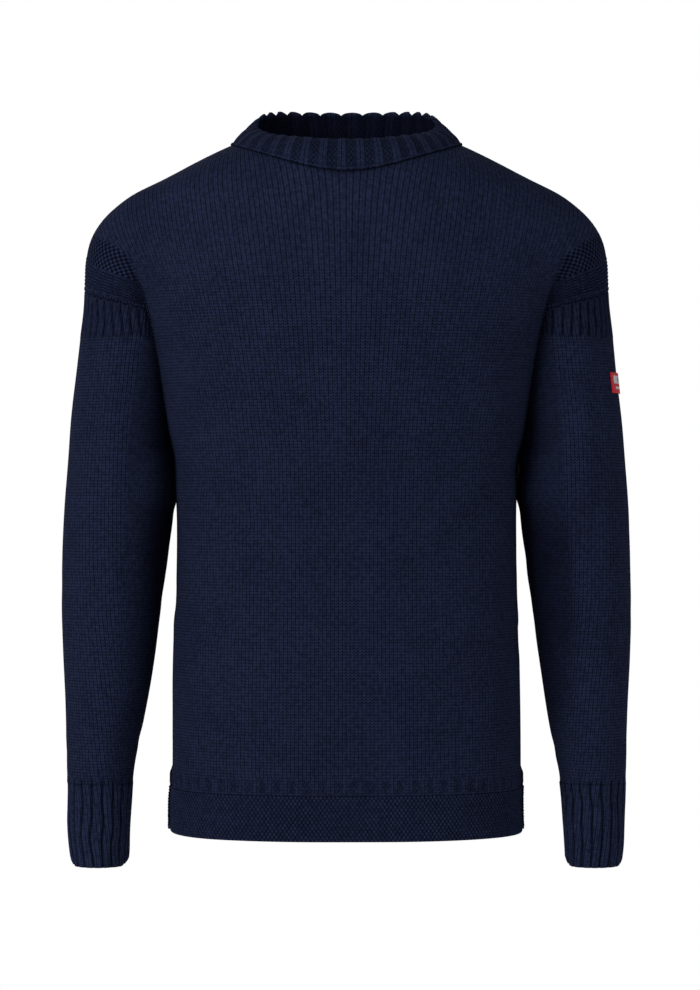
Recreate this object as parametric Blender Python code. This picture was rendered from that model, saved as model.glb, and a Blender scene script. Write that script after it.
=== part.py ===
"""A guernsey fisherman sweater, filled out as it is worn and with no wearer in it.

Metres, +Z up. The chest faces -Y and +X is the wearer's left. The origin is on the neck's axis, level with the foot
of the neckband over the shoulders, where the wearer carries the sweater.

The cloth is a wall around a general figure: a torso of level sections and two arms that hang beside it. Each knitted
piece is a grid of points on that form, moved inwards by the thickness of the knitting for its inner face.
"""

from math import cos, pi, radians, sin

import bmesh
import bpy
import numpy as np

# Heights of the seams and edges
HEM_Z = -0.6815
WELT_TOP_Z = -0.6374
VENT_TOP_Z = -0.6140
UNDERARM_Z = -0.3050
CREASE_TOP_Z = -0.1620
SHOULDER_TIP_Z = -0.1390
CUFF_TOP_Z = -0.6320
CUFF_END_Z = -0.7132

# Thickness of the knitting
BODY_THICKNESS = 0.0025
WELT_THICKNESS = 0.0033
RIB_THICKNESS = 0.0030
LABEL_THICKNESS = 0.0008

# Seams
SEAM_GAP = 0.0003
VENT_GAP = 0.0030
VENT_FLARE = 0.0026
VENT_FLARE_REACH = 0.030
VENT_CORNER_RADIUS = 0.005
VENT_OPENING_RISE = 0.012
BAND_PROUD = 0.0005

# Neckband: its foot lies on the shoulders, and its top ring leans in and tips forwards
NECK_HALF_WIDTH = 0.1145
NECK_FOOT_FRONT = 0.100
NECK_FOOT_BACK = 0.075
NECK_TOP_HALF_WIDTH = 0.0895
NECK_TOP_HALF_DEPTH = 0.075
NECK_TOP_Z = 0.0225
NECK_TOP_TIP = 0.27
NECK_ROUNDNESS = 0.5

# Sleeve label, on the outside of the left sleeve
LABEL_TOP_Z = -0.2255
LABEL_HEIGHT = 0.0205
LABEL_FROM = radians(1.5)
LABEL_TO = radians(36)

# Grid of each piece
HALF_COLUMNS = 16
NECK_COLUMNS = 6
LOWER_ROWS = 8
UPPER_ROWS = 12
CREASE_ROWS = 6
SLEEVE_ROWS = 11
WELT_ROWS = 2
CUFF_ROWS = 2
NECKBAND_ROWS = 3
LABEL_ROWS = 2
LABEL_COLUMNS = 5

# Points along a line before it is divided evenly, and rounds in which a panel's grid evens out on the form
QUARTER_POINTS = 200
SECTION_POINTS = 400
SHOULDER_POINTS = 300
CREASE_POINTS = 2000
EVENING_ROUNDS = 80

# How far the searches reach: below and above the neck's foot, and out from the middle of a shoulder
NECK_SEARCH = (0.070, 0.035)
SHOULDER_MIDDLE_Z = -0.200
SHOULDER_SEARCH = (0.020, 0.300)

# The torso's level sections, from above the neck down to the hem
TORSO_COLUMNS = ("z", "half_width", "front_depth", "back_depth", "squareness")
TORSO = (
    (0.0300, 0.0500, 0.0200, 0.0500, 2.0),
    (0.0120, 0.0920, 0.0450, 0.0750, 2.0),
    (0.0000, 0.1195, 0.0680, 0.0880, 2.0),
    (-0.0120, 0.1445, 0.0845, 0.0960, 2.0),
    (-0.0315, 0.1800, 0.1000, 0.1060, 2.0),
    (-0.0450, 0.1990, 0.1065, 0.1120, 2.0),
    (-0.0620, 0.2100, 0.1130, 0.1170, 2.0),
    (-0.0850, 0.2210, 0.1190, 0.1220, 2.1),
    (-0.1130, 0.2270, 0.1245, 0.1260, 2.2),
    (-0.1500, 0.2140, 0.1290, 0.1280, 2.3),
    (-0.2000, 0.1965, 0.1320, 0.1250, 2.4),
    (-0.2500, 0.1850, 0.1310, 0.1190, 2.4),
    (-0.2800, 0.1785, 0.1300, 0.1155, 2.5),
    (-0.3050, 0.1735, 0.1290, 0.1120, 2.5),
    (-0.3250, 0.1712, 0.1280, 0.1100, 2.5),
    (-0.3600, 0.1695, 0.1265, 0.1060, 2.5),
    (-0.4220, 0.1695, 0.1240, 0.1020, 2.5),
    (-0.4820, 0.1715, 0.1230, 0.1020, 2.5),
    (-0.5520, 0.1735, 0.1240, 0.1060, 2.5),
    (-0.6140, 0.1738, 0.1255, 0.1100, 2.5),
    (-0.6815, 0.1745, 0.1260, 0.1120, 2.5),
)

# The hanging arm's level sections: its outer and inner sides from the middle of the body, and how far forward it is
ARM_COLUMNS = ("z", "outer", "inner", "half_depth", "forward")
ARM = (
    (-0.1250, 0.2620, 0.1500, 0.0680, -0.012),
    (-0.1520, 0.2630, 0.1520, 0.0700, -0.012),
    (-0.1920, 0.2675, 0.1585, 0.0710, -0.011),
    (-0.2320, 0.2715, 0.1655, 0.0705, -0.009),
    (-0.2720, 0.2755, 0.1710, 0.0700, -0.006),
    (-0.3050, 0.2780, 0.1735, 0.0690, -0.004),
    (-0.3520, 0.2815, 0.1727, 0.0670, -0.001),
    (-0.4020, 0.2835, 0.1775, 0.0640, 0.002),
    (-0.4520, 0.2845, 0.1845, 0.0605, 0.005),
    (-0.5020, 0.2825, 0.1910, 0.0560, 0.009),
    (-0.5520, 0.2800, 0.1985, 0.0510, 0.014),
    (-0.5920, 0.2785, 0.2055, 0.0470, 0.018),
    (-0.6220, 0.2775, 0.2112, 0.0430, 0.021),
    (-0.6320, 0.2770, 0.2125, 0.0410, 0.022),
    (-0.6720, 0.2760, 0.2145, 0.0370, 0.026),
    (-0.7132, 0.2725, 0.2165, 0.0340, 0.030),
)
ARM_CAP_Z = -0.125
ARM_CAP_HEIGHT = 0.067
SHOULDER_BLEND = 0.050
CREASE_BLEND = 0.005
BLEND_TOP_Z = -0.085
BLEND_END_Z = -0.165

NAVY = (0.012, 0.018, 0.042, 1.0)
LABEL_RED = (0.42, 0.012, 0.022, 1.0)
COLLECTION = "guernsey_sweater"


# --- Numbers ---------------------------------------------------------------------------------------------------------


def smooth_column(rows, names, name):
    """A smooth curve through one column of a table, over the heights in its first column."""
    table = np.array(sorted(rows))
    z, value = table[:, 0], table[:, names.index(name)]
    slopes = np.gradient(value, z)

    def at(height):
        height = np.clip(height, z[0], z[-1])
        i = np.clip(np.searchsorted(z, height) - 1, 0, len(z) - 2)
        step = z[i + 1] - z[i]
        t = (height - z[i]) / step
        return (
            (1 + 2 * t) * (1 - t) ** 2 * value[i]
            + t * (1 - t) ** 2 * step * slopes[i]
            + t**2 * (3 - 2 * t) * value[i + 1]
            + t**2 * (t - 1) * step * slopes[i + 1]
        )

    return at


def ease(t):
    """From 0 to 1, level at both ends."""
    t = np.clip(t, 0.0, 1.0)
    return t * t * (3 - 2 * t)


def evenly(points, count):
    """count + 1 points an equal distance apart along a line of many points."""
    steps = np.linalg.norm(np.diff(points, axis=0), axis=1)
    along = np.concatenate([[0.0], np.cumsum(steps)])
    wanted = np.linspace(0.0, along[-1], count + 1)
    return np.stack([np.interp(wanted, along, points[:, axis]) for axis in range(3)], axis=1)


def crossing(gap, inside, outside, rounds=40):
    """Halves the way between a point inside a form and one outside it until it is on the form."""
    for _ in range(rounds):
        middle = (inside + outside) / 2
        is_out = (gap(middle) > 0)[..., None]
        inside = np.where(is_out, inside, middle)
        outside = np.where(is_out, middle, outside)
    return (inside + outside) / 2


# --- The form that the cloth lies on ---------------------------------------------------------------------------------

torso = {name: smooth_column(TORSO, TORSO_COLUMNS, name) for name in TORSO_COLUMNS[1:]}
arm = {name: smooth_column(ARM, ARM_COLUMNS, name) for name in ARM_COLUMNS[1:]}


def torso_gap(points):
    """How far points are outside the torso, measured level."""
    x, y, z = np.abs(points[..., 0]), points[..., 1], points[..., 2]
    depth = np.where(y < 0, torso["front_depth"](z), torso["back_depth"](z))
    power = torso["squareness"](z)
    share = ((x / torso["half_width"](z)) ** power + (np.abs(y) / depth) ** power) ** (1 / power)
    return np.hypot(x, y) * (1 - 1 / share)


def arm_gap(points):
    """How far points are outside the arm, which ends at the top in a rounded cap."""
    x, y, z = np.abs(points[..., 0]), points[..., 1], points[..., 2]
    outer, inner = arm["outer"](z), arm["inner"](z)
    across = x - (outer + inner) / 2
    forward = y + arm["forward"](z)
    rise = np.maximum(z - ARM_CAP_Z, 0.0)
    share = np.sqrt(
        (across / ((outer - inner) / 2)) ** 2
        + (forward / arm["half_depth"](z)) ** 2
        + (rise / ARM_CAP_HEIGHT) ** 2
    )
    return np.sqrt(across**2 + forward**2 + rise**2) * (1 - 1 / share)


def body_gap(points):
    """How far points are outside the torso and arm together, which run into each other softly at the shoulder."""
    first, second = torso_gap(points), arm_gap(points)
    softness = ease((points[..., 2] - BLEND_END_Z) / (BLEND_TOP_Z - BLEND_END_Z))
    reach = CREASE_BLEND + (SHOULDER_BLEND - CREASE_BLEND) * softness
    nearness = np.maximum(reach - np.abs(first - second), 0.0) / reach
    return np.minimum(first, second) - nearness**2 * reach / 4


def slope_of(gap, points, step=1e-4):
    """The direction in which gap grows, and how fast."""
    moves = np.eye(3) * step
    return np.stack([(gap(points + move) - gap(points - move)) / (2 * step) for move in moves], axis=-1)


def outward(gap, points):
    slope = slope_of(gap, points)
    return slope / np.linalg.norm(slope, axis=-1, keepdims=True)


def settled(points, gap, rounds=6):
    """Points moved straight onto a form."""
    for _ in range(rounds):
        slope = slope_of(gap, points)
        points = points - slope * (gap(points) / (slope**2).sum(axis=-1))[..., None]
    return points


def torso_section(z, side, gap_at_side=0.0):
    """A level line round half of the torso, from the middle to the side. side is -1 in front and 1 behind."""
    angle = np.linspace(0.0, pi / 2, SECTION_POINTS)
    power = float(torso["squareness"](z))
    depth = float(torso["front_depth" if side < 0 else "back_depth"](z))
    x = float(torso["half_width"](z)) * np.sin(angle) ** (2 / power)
    y = side * depth * np.cos(angle) ** (2 / power)
    line = np.stack([x, y, np.full_like(x, z)], axis=1)
    return line[np.abs(y) >= gap_at_side - 1e-9]


def arm_point(angle, z):
    """A point on the arm: angle 0 is its outer side, pi / 2 its front, pi its inner side."""
    outer, inner = arm["outer"](z), arm["inner"](z)
    x = (outer + inner) / 2 + (outer - inner) / 2 * np.cos(angle)
    y = -arm["forward"](z) - arm["half_depth"](z) * np.sin(angle)
    return np.stack([x, y, z + 0 * x], axis=-1)


def crease_angle(z, side):
    """The angle round the arm at which it runs into the torso, in front (side -1) or behind (side 1)."""
    angle = np.linspace(pi / 2, pi, CREASE_POINTS)
    inside = torso_gap(arm_point(-side * angle, np.full_like(angle, z))) < 0
    return -side * (angle[np.argmax(inside)] if inside.any() else pi)


def armhole(side):
    """(angle, height) down one half of the armhole seam, from the underarm up the crease and over the arm."""
    heights = np.linspace(UNDERARM_Z, CREASE_TOP_Z, CREASE_ROWS + 1)
    angles = [-side * pi] + [crease_angle(z, side) for z in heights[1:]]
    over = np.linspace(0.0, 1.0, UPPER_ROWS - CREASE_ROWS + 1)[1:]
    heights_over = CREASE_TOP_Z + (SHOULDER_TIP_Z - CREASE_TOP_Z) * over
    return np.concatenate([angles, angles[-1] * (1 - over)]), np.concatenate([heights, heights_over])


def neck_foot(side):
    """The foot of the neckband on the shoulders, from the middle of the front or back to the side."""
    angle = np.linspace(0.0, pi / 2, QUARTER_POINTS)
    depth = NECK_FOOT_FRONT if side < 0 else NECK_FOOT_BACK
    plan = np.stack([NECK_HALF_WIDTH * np.sin(angle), side * depth * np.cos(angle), 0 * angle], axis=1)
    below, above = NECK_SEARCH
    return crossing(torso_gap, plan - (0.0, 0.0, below), plan + (0.0, 0.0, above))


def shoulder_line(neck_point, tip):
    """Along the top of the shoulder, from the neck to the tip of the armhole."""
    centre = np.array([NECK_HALF_WIDTH, 0.0, SHOULDER_MIDDLE_Z])
    first, last = (np.arctan2(*(end - centre)[[0, 2]]) for end in (neck_point, tip))
    angle = np.linspace(first, last, SHOULDER_POINTS)
    ray = np.stack([np.sin(angle), 0 * angle, np.cos(angle)], axis=1)
    near, far = SHOULDER_SEARCH
    line = crossing(body_gap, centre + near * ray, centre + far * ray)
    line[:, 1] += tip[1] * np.linspace(0.0, 1.0, len(line))
    line = settled(line, body_gap)
    line[0], line[-1] = neck_point, tip
    return line


# --- Knitted pieces as grids of points -------------------------------------------------------------------------------


def upper_half(side):
    """Half of the front or back above the underarm: rows go up, columns from the middle to the armhole."""
    edge = arm_point(*armhole(side))
    neck = evenly(neck_foot(side), NECK_COLUMNS)
    top = np.concatenate([neck[:-1], evenly(shoulder_line(neck[-1], edge[-1]), HALF_COLUMNS - NECK_COLUMNS)])
    bottom = evenly(torso_section(UNDERARM_Z, side), HALF_COLUMNS)
    bottom[-1] = edge[0]
    heights = np.linspace(UNDERARM_Z, top[0][2], UPPER_ROWS + 1)
    depth = torso["front_depth" if side < 0 else "back_depth"](heights)
    middle = np.stack([0 * heights, side * depth, heights], axis=1)
    u = np.linspace(0.0, 1.0, HALF_COLUMNS + 1)[None, :, None]
    v = np.linspace(0.0, 1.0, UPPER_ROWS + 1)[:, None, None]
    corners = (1 - v) * ((1 - u) * bottom[0] + u * bottom[-1]) + v * ((1 - u) * top[0] + u * top[-1])
    grid = (1 - v) * bottom + v * top + (1 - u) * middle[:, None] + u * edge[:, None] - corners
    inner = (slice(1, -1), slice(1, -1))
    for _ in range(EVENING_ROUNDS):
        grid[inner] = (grid[:-2, 1:-1] + grid[2:, 1:-1] + grid[1:-1, :-2] + grid[1:-1, 2:]) / 4
        grid[inner] = settled(grid[inner], body_gap, 2)
    grid[inner] = settled(grid[inner], body_gap)
    return grid


def lower_half(side, heights):
    """Half of the front or back between level heights. Below the vent's top its edge stands clear of the side."""
    rows = []
    for z in heights:
        opened = ease((VENT_TOP_Z - z) / VENT_OPENING_RISE)
        row = evenly(torso_section(z, side, opened * VENT_GAP if side < 0 else 0.0), HALF_COLUMNS)
        if side > 0:
            near_side = ease(1 - (row[-1, 0] - row[:, 0]) / VENT_FLARE_REACH) * (row[:, 1] < VENT_FLARE_REACH)
            row[:, 0] += opened * VENT_FLARE * near_side
        rows.append(row)
    return np.array(rows)


def across(half):
    """The whole of a piece from its +X half, in columns from -X to +X."""
    mirrored = half[:, :0:-1] * np.array([-1.0, 1.0, 1.0])
    return np.concatenate([mirrored, half], axis=1)


def both_walls(outer, direction, thickness):
    return outer, outer - thickness * direction


def pulled_in(walls, edge, distance):
    """Both walls of a piece with one edge drawn back, so that it stands clear of its neighbour."""
    edge_at, next_at = {
        "bottom": (np.s_[0], np.s_[1]),
        "top": (np.s_[-1], np.s_[-2]),
        "left": (np.s_[:, 0], np.s_[:, 1]),
        "right": (np.s_[:, -1], np.s_[:, -2]),
    }[edge]
    for wall in walls:
        inwards = wall[next_at] - wall[edge_at]
        wall[edge_at] += distance * inwards / np.linalg.norm(inwards, axis=-1, keepdims=True)
    return walls


def body_panel(side):
    """The front (side -1) or back (side 1), from the top of the welt to the neck and shoulders."""
    heights = np.concatenate(
        [[WELT_TOP_Z], np.linspace(VENT_TOP_Z, UNDERARM_Z, LOWER_ROWS + 1)[:-1]]
    )
    half = np.concatenate([lower_half(side, heights), upper_half(side)])
    direction = outward(body_gap, half)
    crease = slice(len(heights), len(heights) + CREASE_ROWS)
    direction[crease, -1] = outward(torso_gap, half[crease, -1])
    walls = both_walls(across(half), across(direction), BODY_THICKNESS)
    for edge in ("top", "left", "right"):
        pulled_in(walls, edge, SEAM_GAP / 2)
    return pulled_in(walls, "bottom", SEAM_GAP)


def welt(side):
    """The garter welt below the front or back, with its lower corners rounded at the vents."""
    half = lower_half(side, np.linspace(HEM_Z, WELT_TOP_Z, WELT_ROWS + 1))
    direction = outward(torso_gap, half)
    half = half + BAND_PROUD * direction
    from_vent = np.linalg.norm(half[0] - half[0, -1], axis=1)
    rounding = np.maximum(VENT_CORNER_RADIUS - from_vent, 0.0)
    half[0, :, 2] += VENT_CORNER_RADIUS - np.sqrt(VENT_CORNER_RADIUS**2 - rounding**2)
    return both_walls(across(half), across(direction), WELT_THICKNESS)


def armhole_ring():
    """(angle, height) round the whole armhole, from the underarm over the front, the outside and the back."""
    (front, front_z), (back, back_z) = armhole(-1), armhole(1)
    return np.concatenate([front, back[-2:0:-1]]), np.concatenate([front_z, back_z[-2:0:-1]])


def sleeve(hand):
    """A sleeve from the armhole to the cuff. hand is 1 on the +X side and -1 on the other."""
    angle, top = armhole_ring()
    share = np.linspace(0.0, 1.0, SLEEVE_ROWS + 1)[:, None]
    outer = arm_point(angle + 0 * share, top + (CUFF_TOP_Z - top) * share)
    walls = both_walls(outer, outward(arm_gap, outer), BODY_THICKNESS)
    pulled_in(walls, "bottom", SEAM_GAP / 2)
    return tuple(wall * (hand, 1, 1) for wall in walls)


def cuff(hand):
    angle, _ = armhole_ring()
    height = np.linspace(CUFF_TOP_Z - SEAM_GAP, CUFF_END_Z, CUFF_ROWS + 1)[:, None]
    outer = arm_point(angle + 0 * height, height + 0 * angle)
    walls = both_walls(outer, outward(arm_gap, outer), RIB_THICKNESS)
    return tuple(wall * (hand, 1, 1) for wall in walls)


def neckband():
    """The ribbed band from the neckline up to the neck opening, leaning in and swelling a little."""
    quarters = [evenly(neck_foot(side), NECK_COLUMNS) for side in (-1, 1)]
    half = np.concatenate([quarters[0], quarters[1][-2::-1]])
    foot = np.concatenate([half, (half * (-1, 1, 1))[-2:0:-1]])
    turn = np.arctan2(foot[:, 0], -foot[:, 1])
    top_y = -NECK_TOP_HALF_DEPTH * np.cos(turn)
    top = np.stack([NECK_TOP_HALF_WIDTH * np.sin(turn), top_y, NECK_TOP_Z + NECK_TOP_TIP * top_y], axis=1)
    rows = []
    for share in np.linspace(0.0, 1.0, NECKBAND_ROWS + 1):
        level = NECK_ROUNDNESS * (1 - cos(share * pi / 2)) + (1 - NECK_ROUNDNESS) * share
        upright = NECK_ROUNDNESS * sin(share * pi / 2) + (1 - NECK_ROUNDNESS) * share
        rows.append(foot + (top - foot) * (level, level, upright))
    outer = np.array(rows)
    round_it = np.roll(outer, -1, axis=1) - np.roll(outer, 1, axis=1)
    up_it = np.gradient(outer, axis=0)
    direction = np.cross(round_it, up_it)
    direction /= np.linalg.norm(direction, axis=-1, keepdims=True)
    return pulled_in(both_walls(outer, direction, RIB_THICKNESS), "bottom", SEAM_GAP)


def sleeve_label():
    """The woven label, made from the sleeve's own points moved out."""
    angle = np.linspace(LABEL_FROM, LABEL_TO, LABEL_COLUMNS + 1)[None, :]
    height = np.linspace(LABEL_TOP_Z - LABEL_HEIGHT, LABEL_TOP_Z, LABEL_ROWS + 1)[:, None]
    under = arm_point(angle + 0 * height, height + 0 * angle)
    direction = outward(arm_gap, under)
    return both_walls(under + (SEAM_GAP + LABEL_THICKNESS) * direction, direction, LABEL_THICKNESS)


# --- Solids ----------------------------------------------------------------------------------------------------------


def fabric(name, colour, roughness):
    material = bpy.data.materials.new(name)
    material.use_nodes = True
    shader = material.node_tree.nodes["Principled BSDF"]
    shader.inputs["Base Color"].default_value = colour
    shader.inputs["Roughness"].default_value = roughness
    shader.inputs["Sheen Weight"].default_value = 0.4
    return material


def edges_of(rows, columns, ring):
    """The grid places along each open edge of a piece, as closed loops."""
    if ring:
        return [[(row, column) for column in range(columns)] for row in (0, rows - 1)]
    bottom = [(0, column) for column in range(columns - 1)]
    right = [(row, columns - 1) for row in range(rows - 1)]
    top = [(rows - 1, column) for column in range(columns - 1, 0, -1)]
    left = [(row, 0) for row in range(rows - 1, 0, -1)]
    return [bottom + right + top + left]


def knitted_piece(name, walls, material, collection, ring=False):
    """One closed solid between the outer and inner wall of a piece. A ring's last column meets its first."""
    rows, columns = walls[0].shape[:2]
    bm = bmesh.new()
    outer, inner = ([[bm.verts.new(point) for point in row] for row in wall] for wall in walls)
    for sheet in (outer, inner):
        for row in range(rows - 1):
            for column in range(columns if ring else columns - 1):
                beside = (column + 1) % columns
                bm.faces.new((sheet[row][column], sheet[row][beside], sheet[row + 1][beside], sheet[row + 1][column]))
    for loop in edges_of(rows, columns, ring):
        for (row, column), (next_row, next_column) in zip(loop, loop[1:] + loop[:1]):
            bm.faces.new(
                (outer[row][column], outer[next_row][next_column], inner[next_row][next_column], inner[row][column])
            )
    bmesh.ops.recalc_face_normals(bm, faces=bm.faces)
    mesh = bpy.data.meshes.new(name)
    bm.to_mesh(mesh)
    bm.free()
    mesh.shade_smooth()
    mesh.set_sharp_from_angle(angle=radians(50))
    mesh.materials.append(material)
    collection.objects.link(bpy.data.objects.new(name, mesh))


def main():
    for item in list(bpy.context.scene.objects):
        bpy.data.objects.remove(item, do_unlink=True)
    collection = bpy.data.collections.new(COLLECTION)
    bpy.context.scene.collection.children.link(collection)
    knit = fabric("navy_worsted_knit", NAVY, 0.9)
    rib = fabric("navy_worsted_rib", NAVY, 0.9)
    woven = fabric("red_woven_label", LABEL_RED, 0.6)
    for name, side in (("front", -1), ("back", 1)):
        knitted_piece(f"body_{name}", body_panel(side), knit, collection)
        knitted_piece(f"hem_welt_{name}", welt(side), knit, collection)
    for name, hand in (("left", 1), ("right", -1)):
        knitted_piece(f"sleeve_{name}", sleeve(hand), knit, collection, ring=True)
        knitted_piece(f"cuff_{name}", cuff(hand), rib, collection, ring=True)
    knitted_piece("neckband", neckband(), rib, collection, ring=True)
    knitted_piece("sleeve_label", sleeve_label(), woven, collection)


main()
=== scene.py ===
"""A guernsey fisherman sweater in navy worsted wool, filled out as it is worn and with no wearer in it.

Metres, +Z up. The chest faces -Y and +X is the wearer's left. Each knitted piece is a thin shell on the
same general figure as the frame's plain solids: a fine grid of points with its ribs, ridges and garter
bumps raised on it. Rows of stitches follow the seams and edges. The plain stitches are in the materials,
on each piece's own stitch map.
"""

from math import cos, pi, radians, sin

import bpy
import numpy as np
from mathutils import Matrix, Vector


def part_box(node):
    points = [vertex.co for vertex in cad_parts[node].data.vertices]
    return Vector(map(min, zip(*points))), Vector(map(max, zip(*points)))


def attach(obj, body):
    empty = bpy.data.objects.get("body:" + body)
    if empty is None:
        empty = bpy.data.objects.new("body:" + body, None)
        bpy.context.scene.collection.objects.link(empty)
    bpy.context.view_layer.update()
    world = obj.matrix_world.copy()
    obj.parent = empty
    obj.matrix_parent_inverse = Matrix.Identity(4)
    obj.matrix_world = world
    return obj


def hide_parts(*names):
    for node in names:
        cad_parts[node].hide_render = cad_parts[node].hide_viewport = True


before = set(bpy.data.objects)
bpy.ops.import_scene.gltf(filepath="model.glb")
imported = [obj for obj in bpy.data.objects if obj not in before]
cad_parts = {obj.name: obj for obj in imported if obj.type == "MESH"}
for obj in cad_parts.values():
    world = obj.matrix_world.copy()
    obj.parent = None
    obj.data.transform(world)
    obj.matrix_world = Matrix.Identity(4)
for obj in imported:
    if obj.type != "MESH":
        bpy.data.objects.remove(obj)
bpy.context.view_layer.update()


def height_of(node, end):
    """The lowest (end 0) or highest (end 1) level of a piece in the frame."""
    return float(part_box(node)[end][2])


# Heights of the seams and edges
HEM_Z = height_of("hem_welt_front", 0)
WELT_TOP_Z = height_of("hem_welt_front", 1)
CUFF_END_Z = height_of("cuff_left", 0)
CUFF_TOP_Z = height_of("sleeve_left", 0)
LABEL_TOP_Z = height_of("sleeve_label", 1)
LABEL_END_Z = height_of("sleeve_label", 0)
VENT_TOP_Z = -0.6140
UNDERARM_Z = -0.3050
CREASE_TOP_Z = -0.1620
SHOULDER_TIP_Z = -0.1390

# Thickness of the knitting
BODY_THICKNESS = 0.0025
WELT_THICKNESS = 0.0033
RIB_THICKNESS = 0.0030
LABEL_THICKNESS = 0.0008

# Seams: neighbouring pieces run a hair past one another, so that no light comes through
SEAM_LAP = 0.0001
LABEL_LIFT = 0.0003
VENT_GAP = 0.0030
VENT_FLARE = 0.0026
VENT_FLARE_REACH = 0.030
VENT_OPENING_RISE = 0.012
VENT_CORNER_RADIUS = 0.0075
BAND_PROUD = 0.0005

# Neckband: its foot lies on the shoulders, and its top ring leans in and tips forwards
NECK_HALF_WIDTH = 0.1145
NECK_FOOT_FRONT = 0.100
NECK_FOOT_BACK = 0.075
NECK_TOP_HALF_WIDTH = 0.0895
NECK_TOP_HALF_DEPTH = 0.075
NECK_TOP_Z = 0.0225
NECK_TOP_TIP = 0.27
NECK_ROUNDNESS = 0.5
NECK_BACK_FULLNESS = 2.2

LABEL_FROM = radians(1.5)
LABEL_TO = radians(36)

# Stitch sizes
WALE = 0.0041
COURSE = 0.0029
HALF_WALES = 64
CUFF_RIB = 0.0104
NECK_RIBS = 34
GARTER_ROWS = 15
HEM_BLOCK = 0.0160
HEM_BLOCK_RISE = 0.0160
HEM_BLOCKS_TOP_Z = WELT_TOP_Z + HEM_BLOCK_RISE

# Patterned border on the upper arm, measured from the armhole seam
RIDGE_FIRST = 0.0030
RIDGE_PITCH = 0.0036
RIDGE_COUNT = 8
MOSS_FROM = 0.0310
MOSS_TO = 0.0640
BORDER_NARROWING = 0.45

# The furrow beside the crease, on the arm's side of it, sunk into the cloth and painted dark with shade
FURROW_TOP_Z = -0.095
FURROW_WIDTH = 0.0090
FURROW_DEPTH = 0.0016
LADDER_END_Z = -0.1930
LADDER_DRIFT = 14.0

# How far down a sleeve the fine rows at its seam and the rows of its ladder reach, as shares of its length
SEAM_SHARE = 0.013
LADDER_SHARE = 0.130
SEAM_ROWS = 7

# The cuff's end is rounded off where the sleeve lies folded, at its outer and inner sides
CUFF_CORNER_WIDTH = 0.0065
CUFF_CORNER_RISE = 0.0075
CUFF_RIB_START = 0.0050

# How close a point of each sleeve is to the body where the shade painted on it begins, and how far down the
# sleeve leans on the body
SHADE_REACH = {1: 0.0170, -1: 0.0125}
LEANING_TO_Z = -0.3650
LEANING_GAP = 0.0040

# The shade painted on the inner side of each hanging sleeve: how far out it reaches, and its heights
INNER_SHADE = {1: 0.2360, -1: 0.2110}
INNER_SHADE_TOP_Z = -0.3450
INNER_SHADE_END_Z = -0.6100

# How far the knitting's pattern stands out, and how uneven the cloth lies
PANEL_RELIEF = 0.00075
GARTER_RELIEF = 0.00070
RIB_RELIEF = 0.0009
UNEVEN_DEPTH = 0.0006
GARTER_UNEVEN_DEPTH = 0.0009
BAND_UNEVEN_DEPTH = 0.0007

# The painted shade at the panels' edges: how wide it is under the neckband and at the armhole, and the height
# above which the plain stitches are stretched and the shoulders are painted a little darker
NECK_SHADE_WIDTH = 0.0042
ARMHOLE_SHADE_WIDTH = 0.0013
STRETCHED_FROM_Z = -0.170

# Ropes of stitches along the armhole seams and the neckband's edges
ARMHOLE_ROPE = {"Spacing": 0.0036, "Length": 0.0040, "Width": 0.0011, "Height": 0.0006}
NECK_ROPE = {"Spacing": 0.0040, "Length": 0.0040, "Width": 0.0014, "Height": 0.0009, "Lean": 0.25}
ARMHOLE_LEAN = 0.65
ROPE_LIFT = 0.0003

# Where lines on the form are looked for: below and above the neck's foot, and out from inside the shoulder
NECK_SEARCH = 0.07
SHOULDER_MIDDLE_Z = -0.20
SHOULDER_SEARCH = (0.02, 0.30)

# Points on the lines that are worked out closely before they are divided, and rounds of evening a grid
SECTION_POINTS = 1600
TURN_POINTS = 2000
LINE_POINTS = 400
SHOULDER_POINTS = 300
ARMHOLE_POINTS = 240
FIRST_ROUNDS = 80
LAST_ROUNDS = 40

# Grid of each piece
MIDDLE_COLUMNS = 64
MIDDLE_ROWS = 48
BORDER_COLUMNS = 38
BORDER_REACH = 0.0320
PLAIN_COLUMNS = 58
LOWER_ROWS = 62
UPPER_ROWS = 120
HEM_BAND_ROWS = 12
SLEEVE_COLUMNS = 384
LADDER_ROWS = 22
SLEEVE_ROWS = 58
CUFF_COLUMNS = 264
CUFF_ROWS = 36
NECK_COLUMNS = 120
NECK_ROWS = 24
WELT_COLUMNS = 240
WELT_ROWS = 60
LABEL_COLUMNS = 28
LABEL_ROWS = 20

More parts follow.
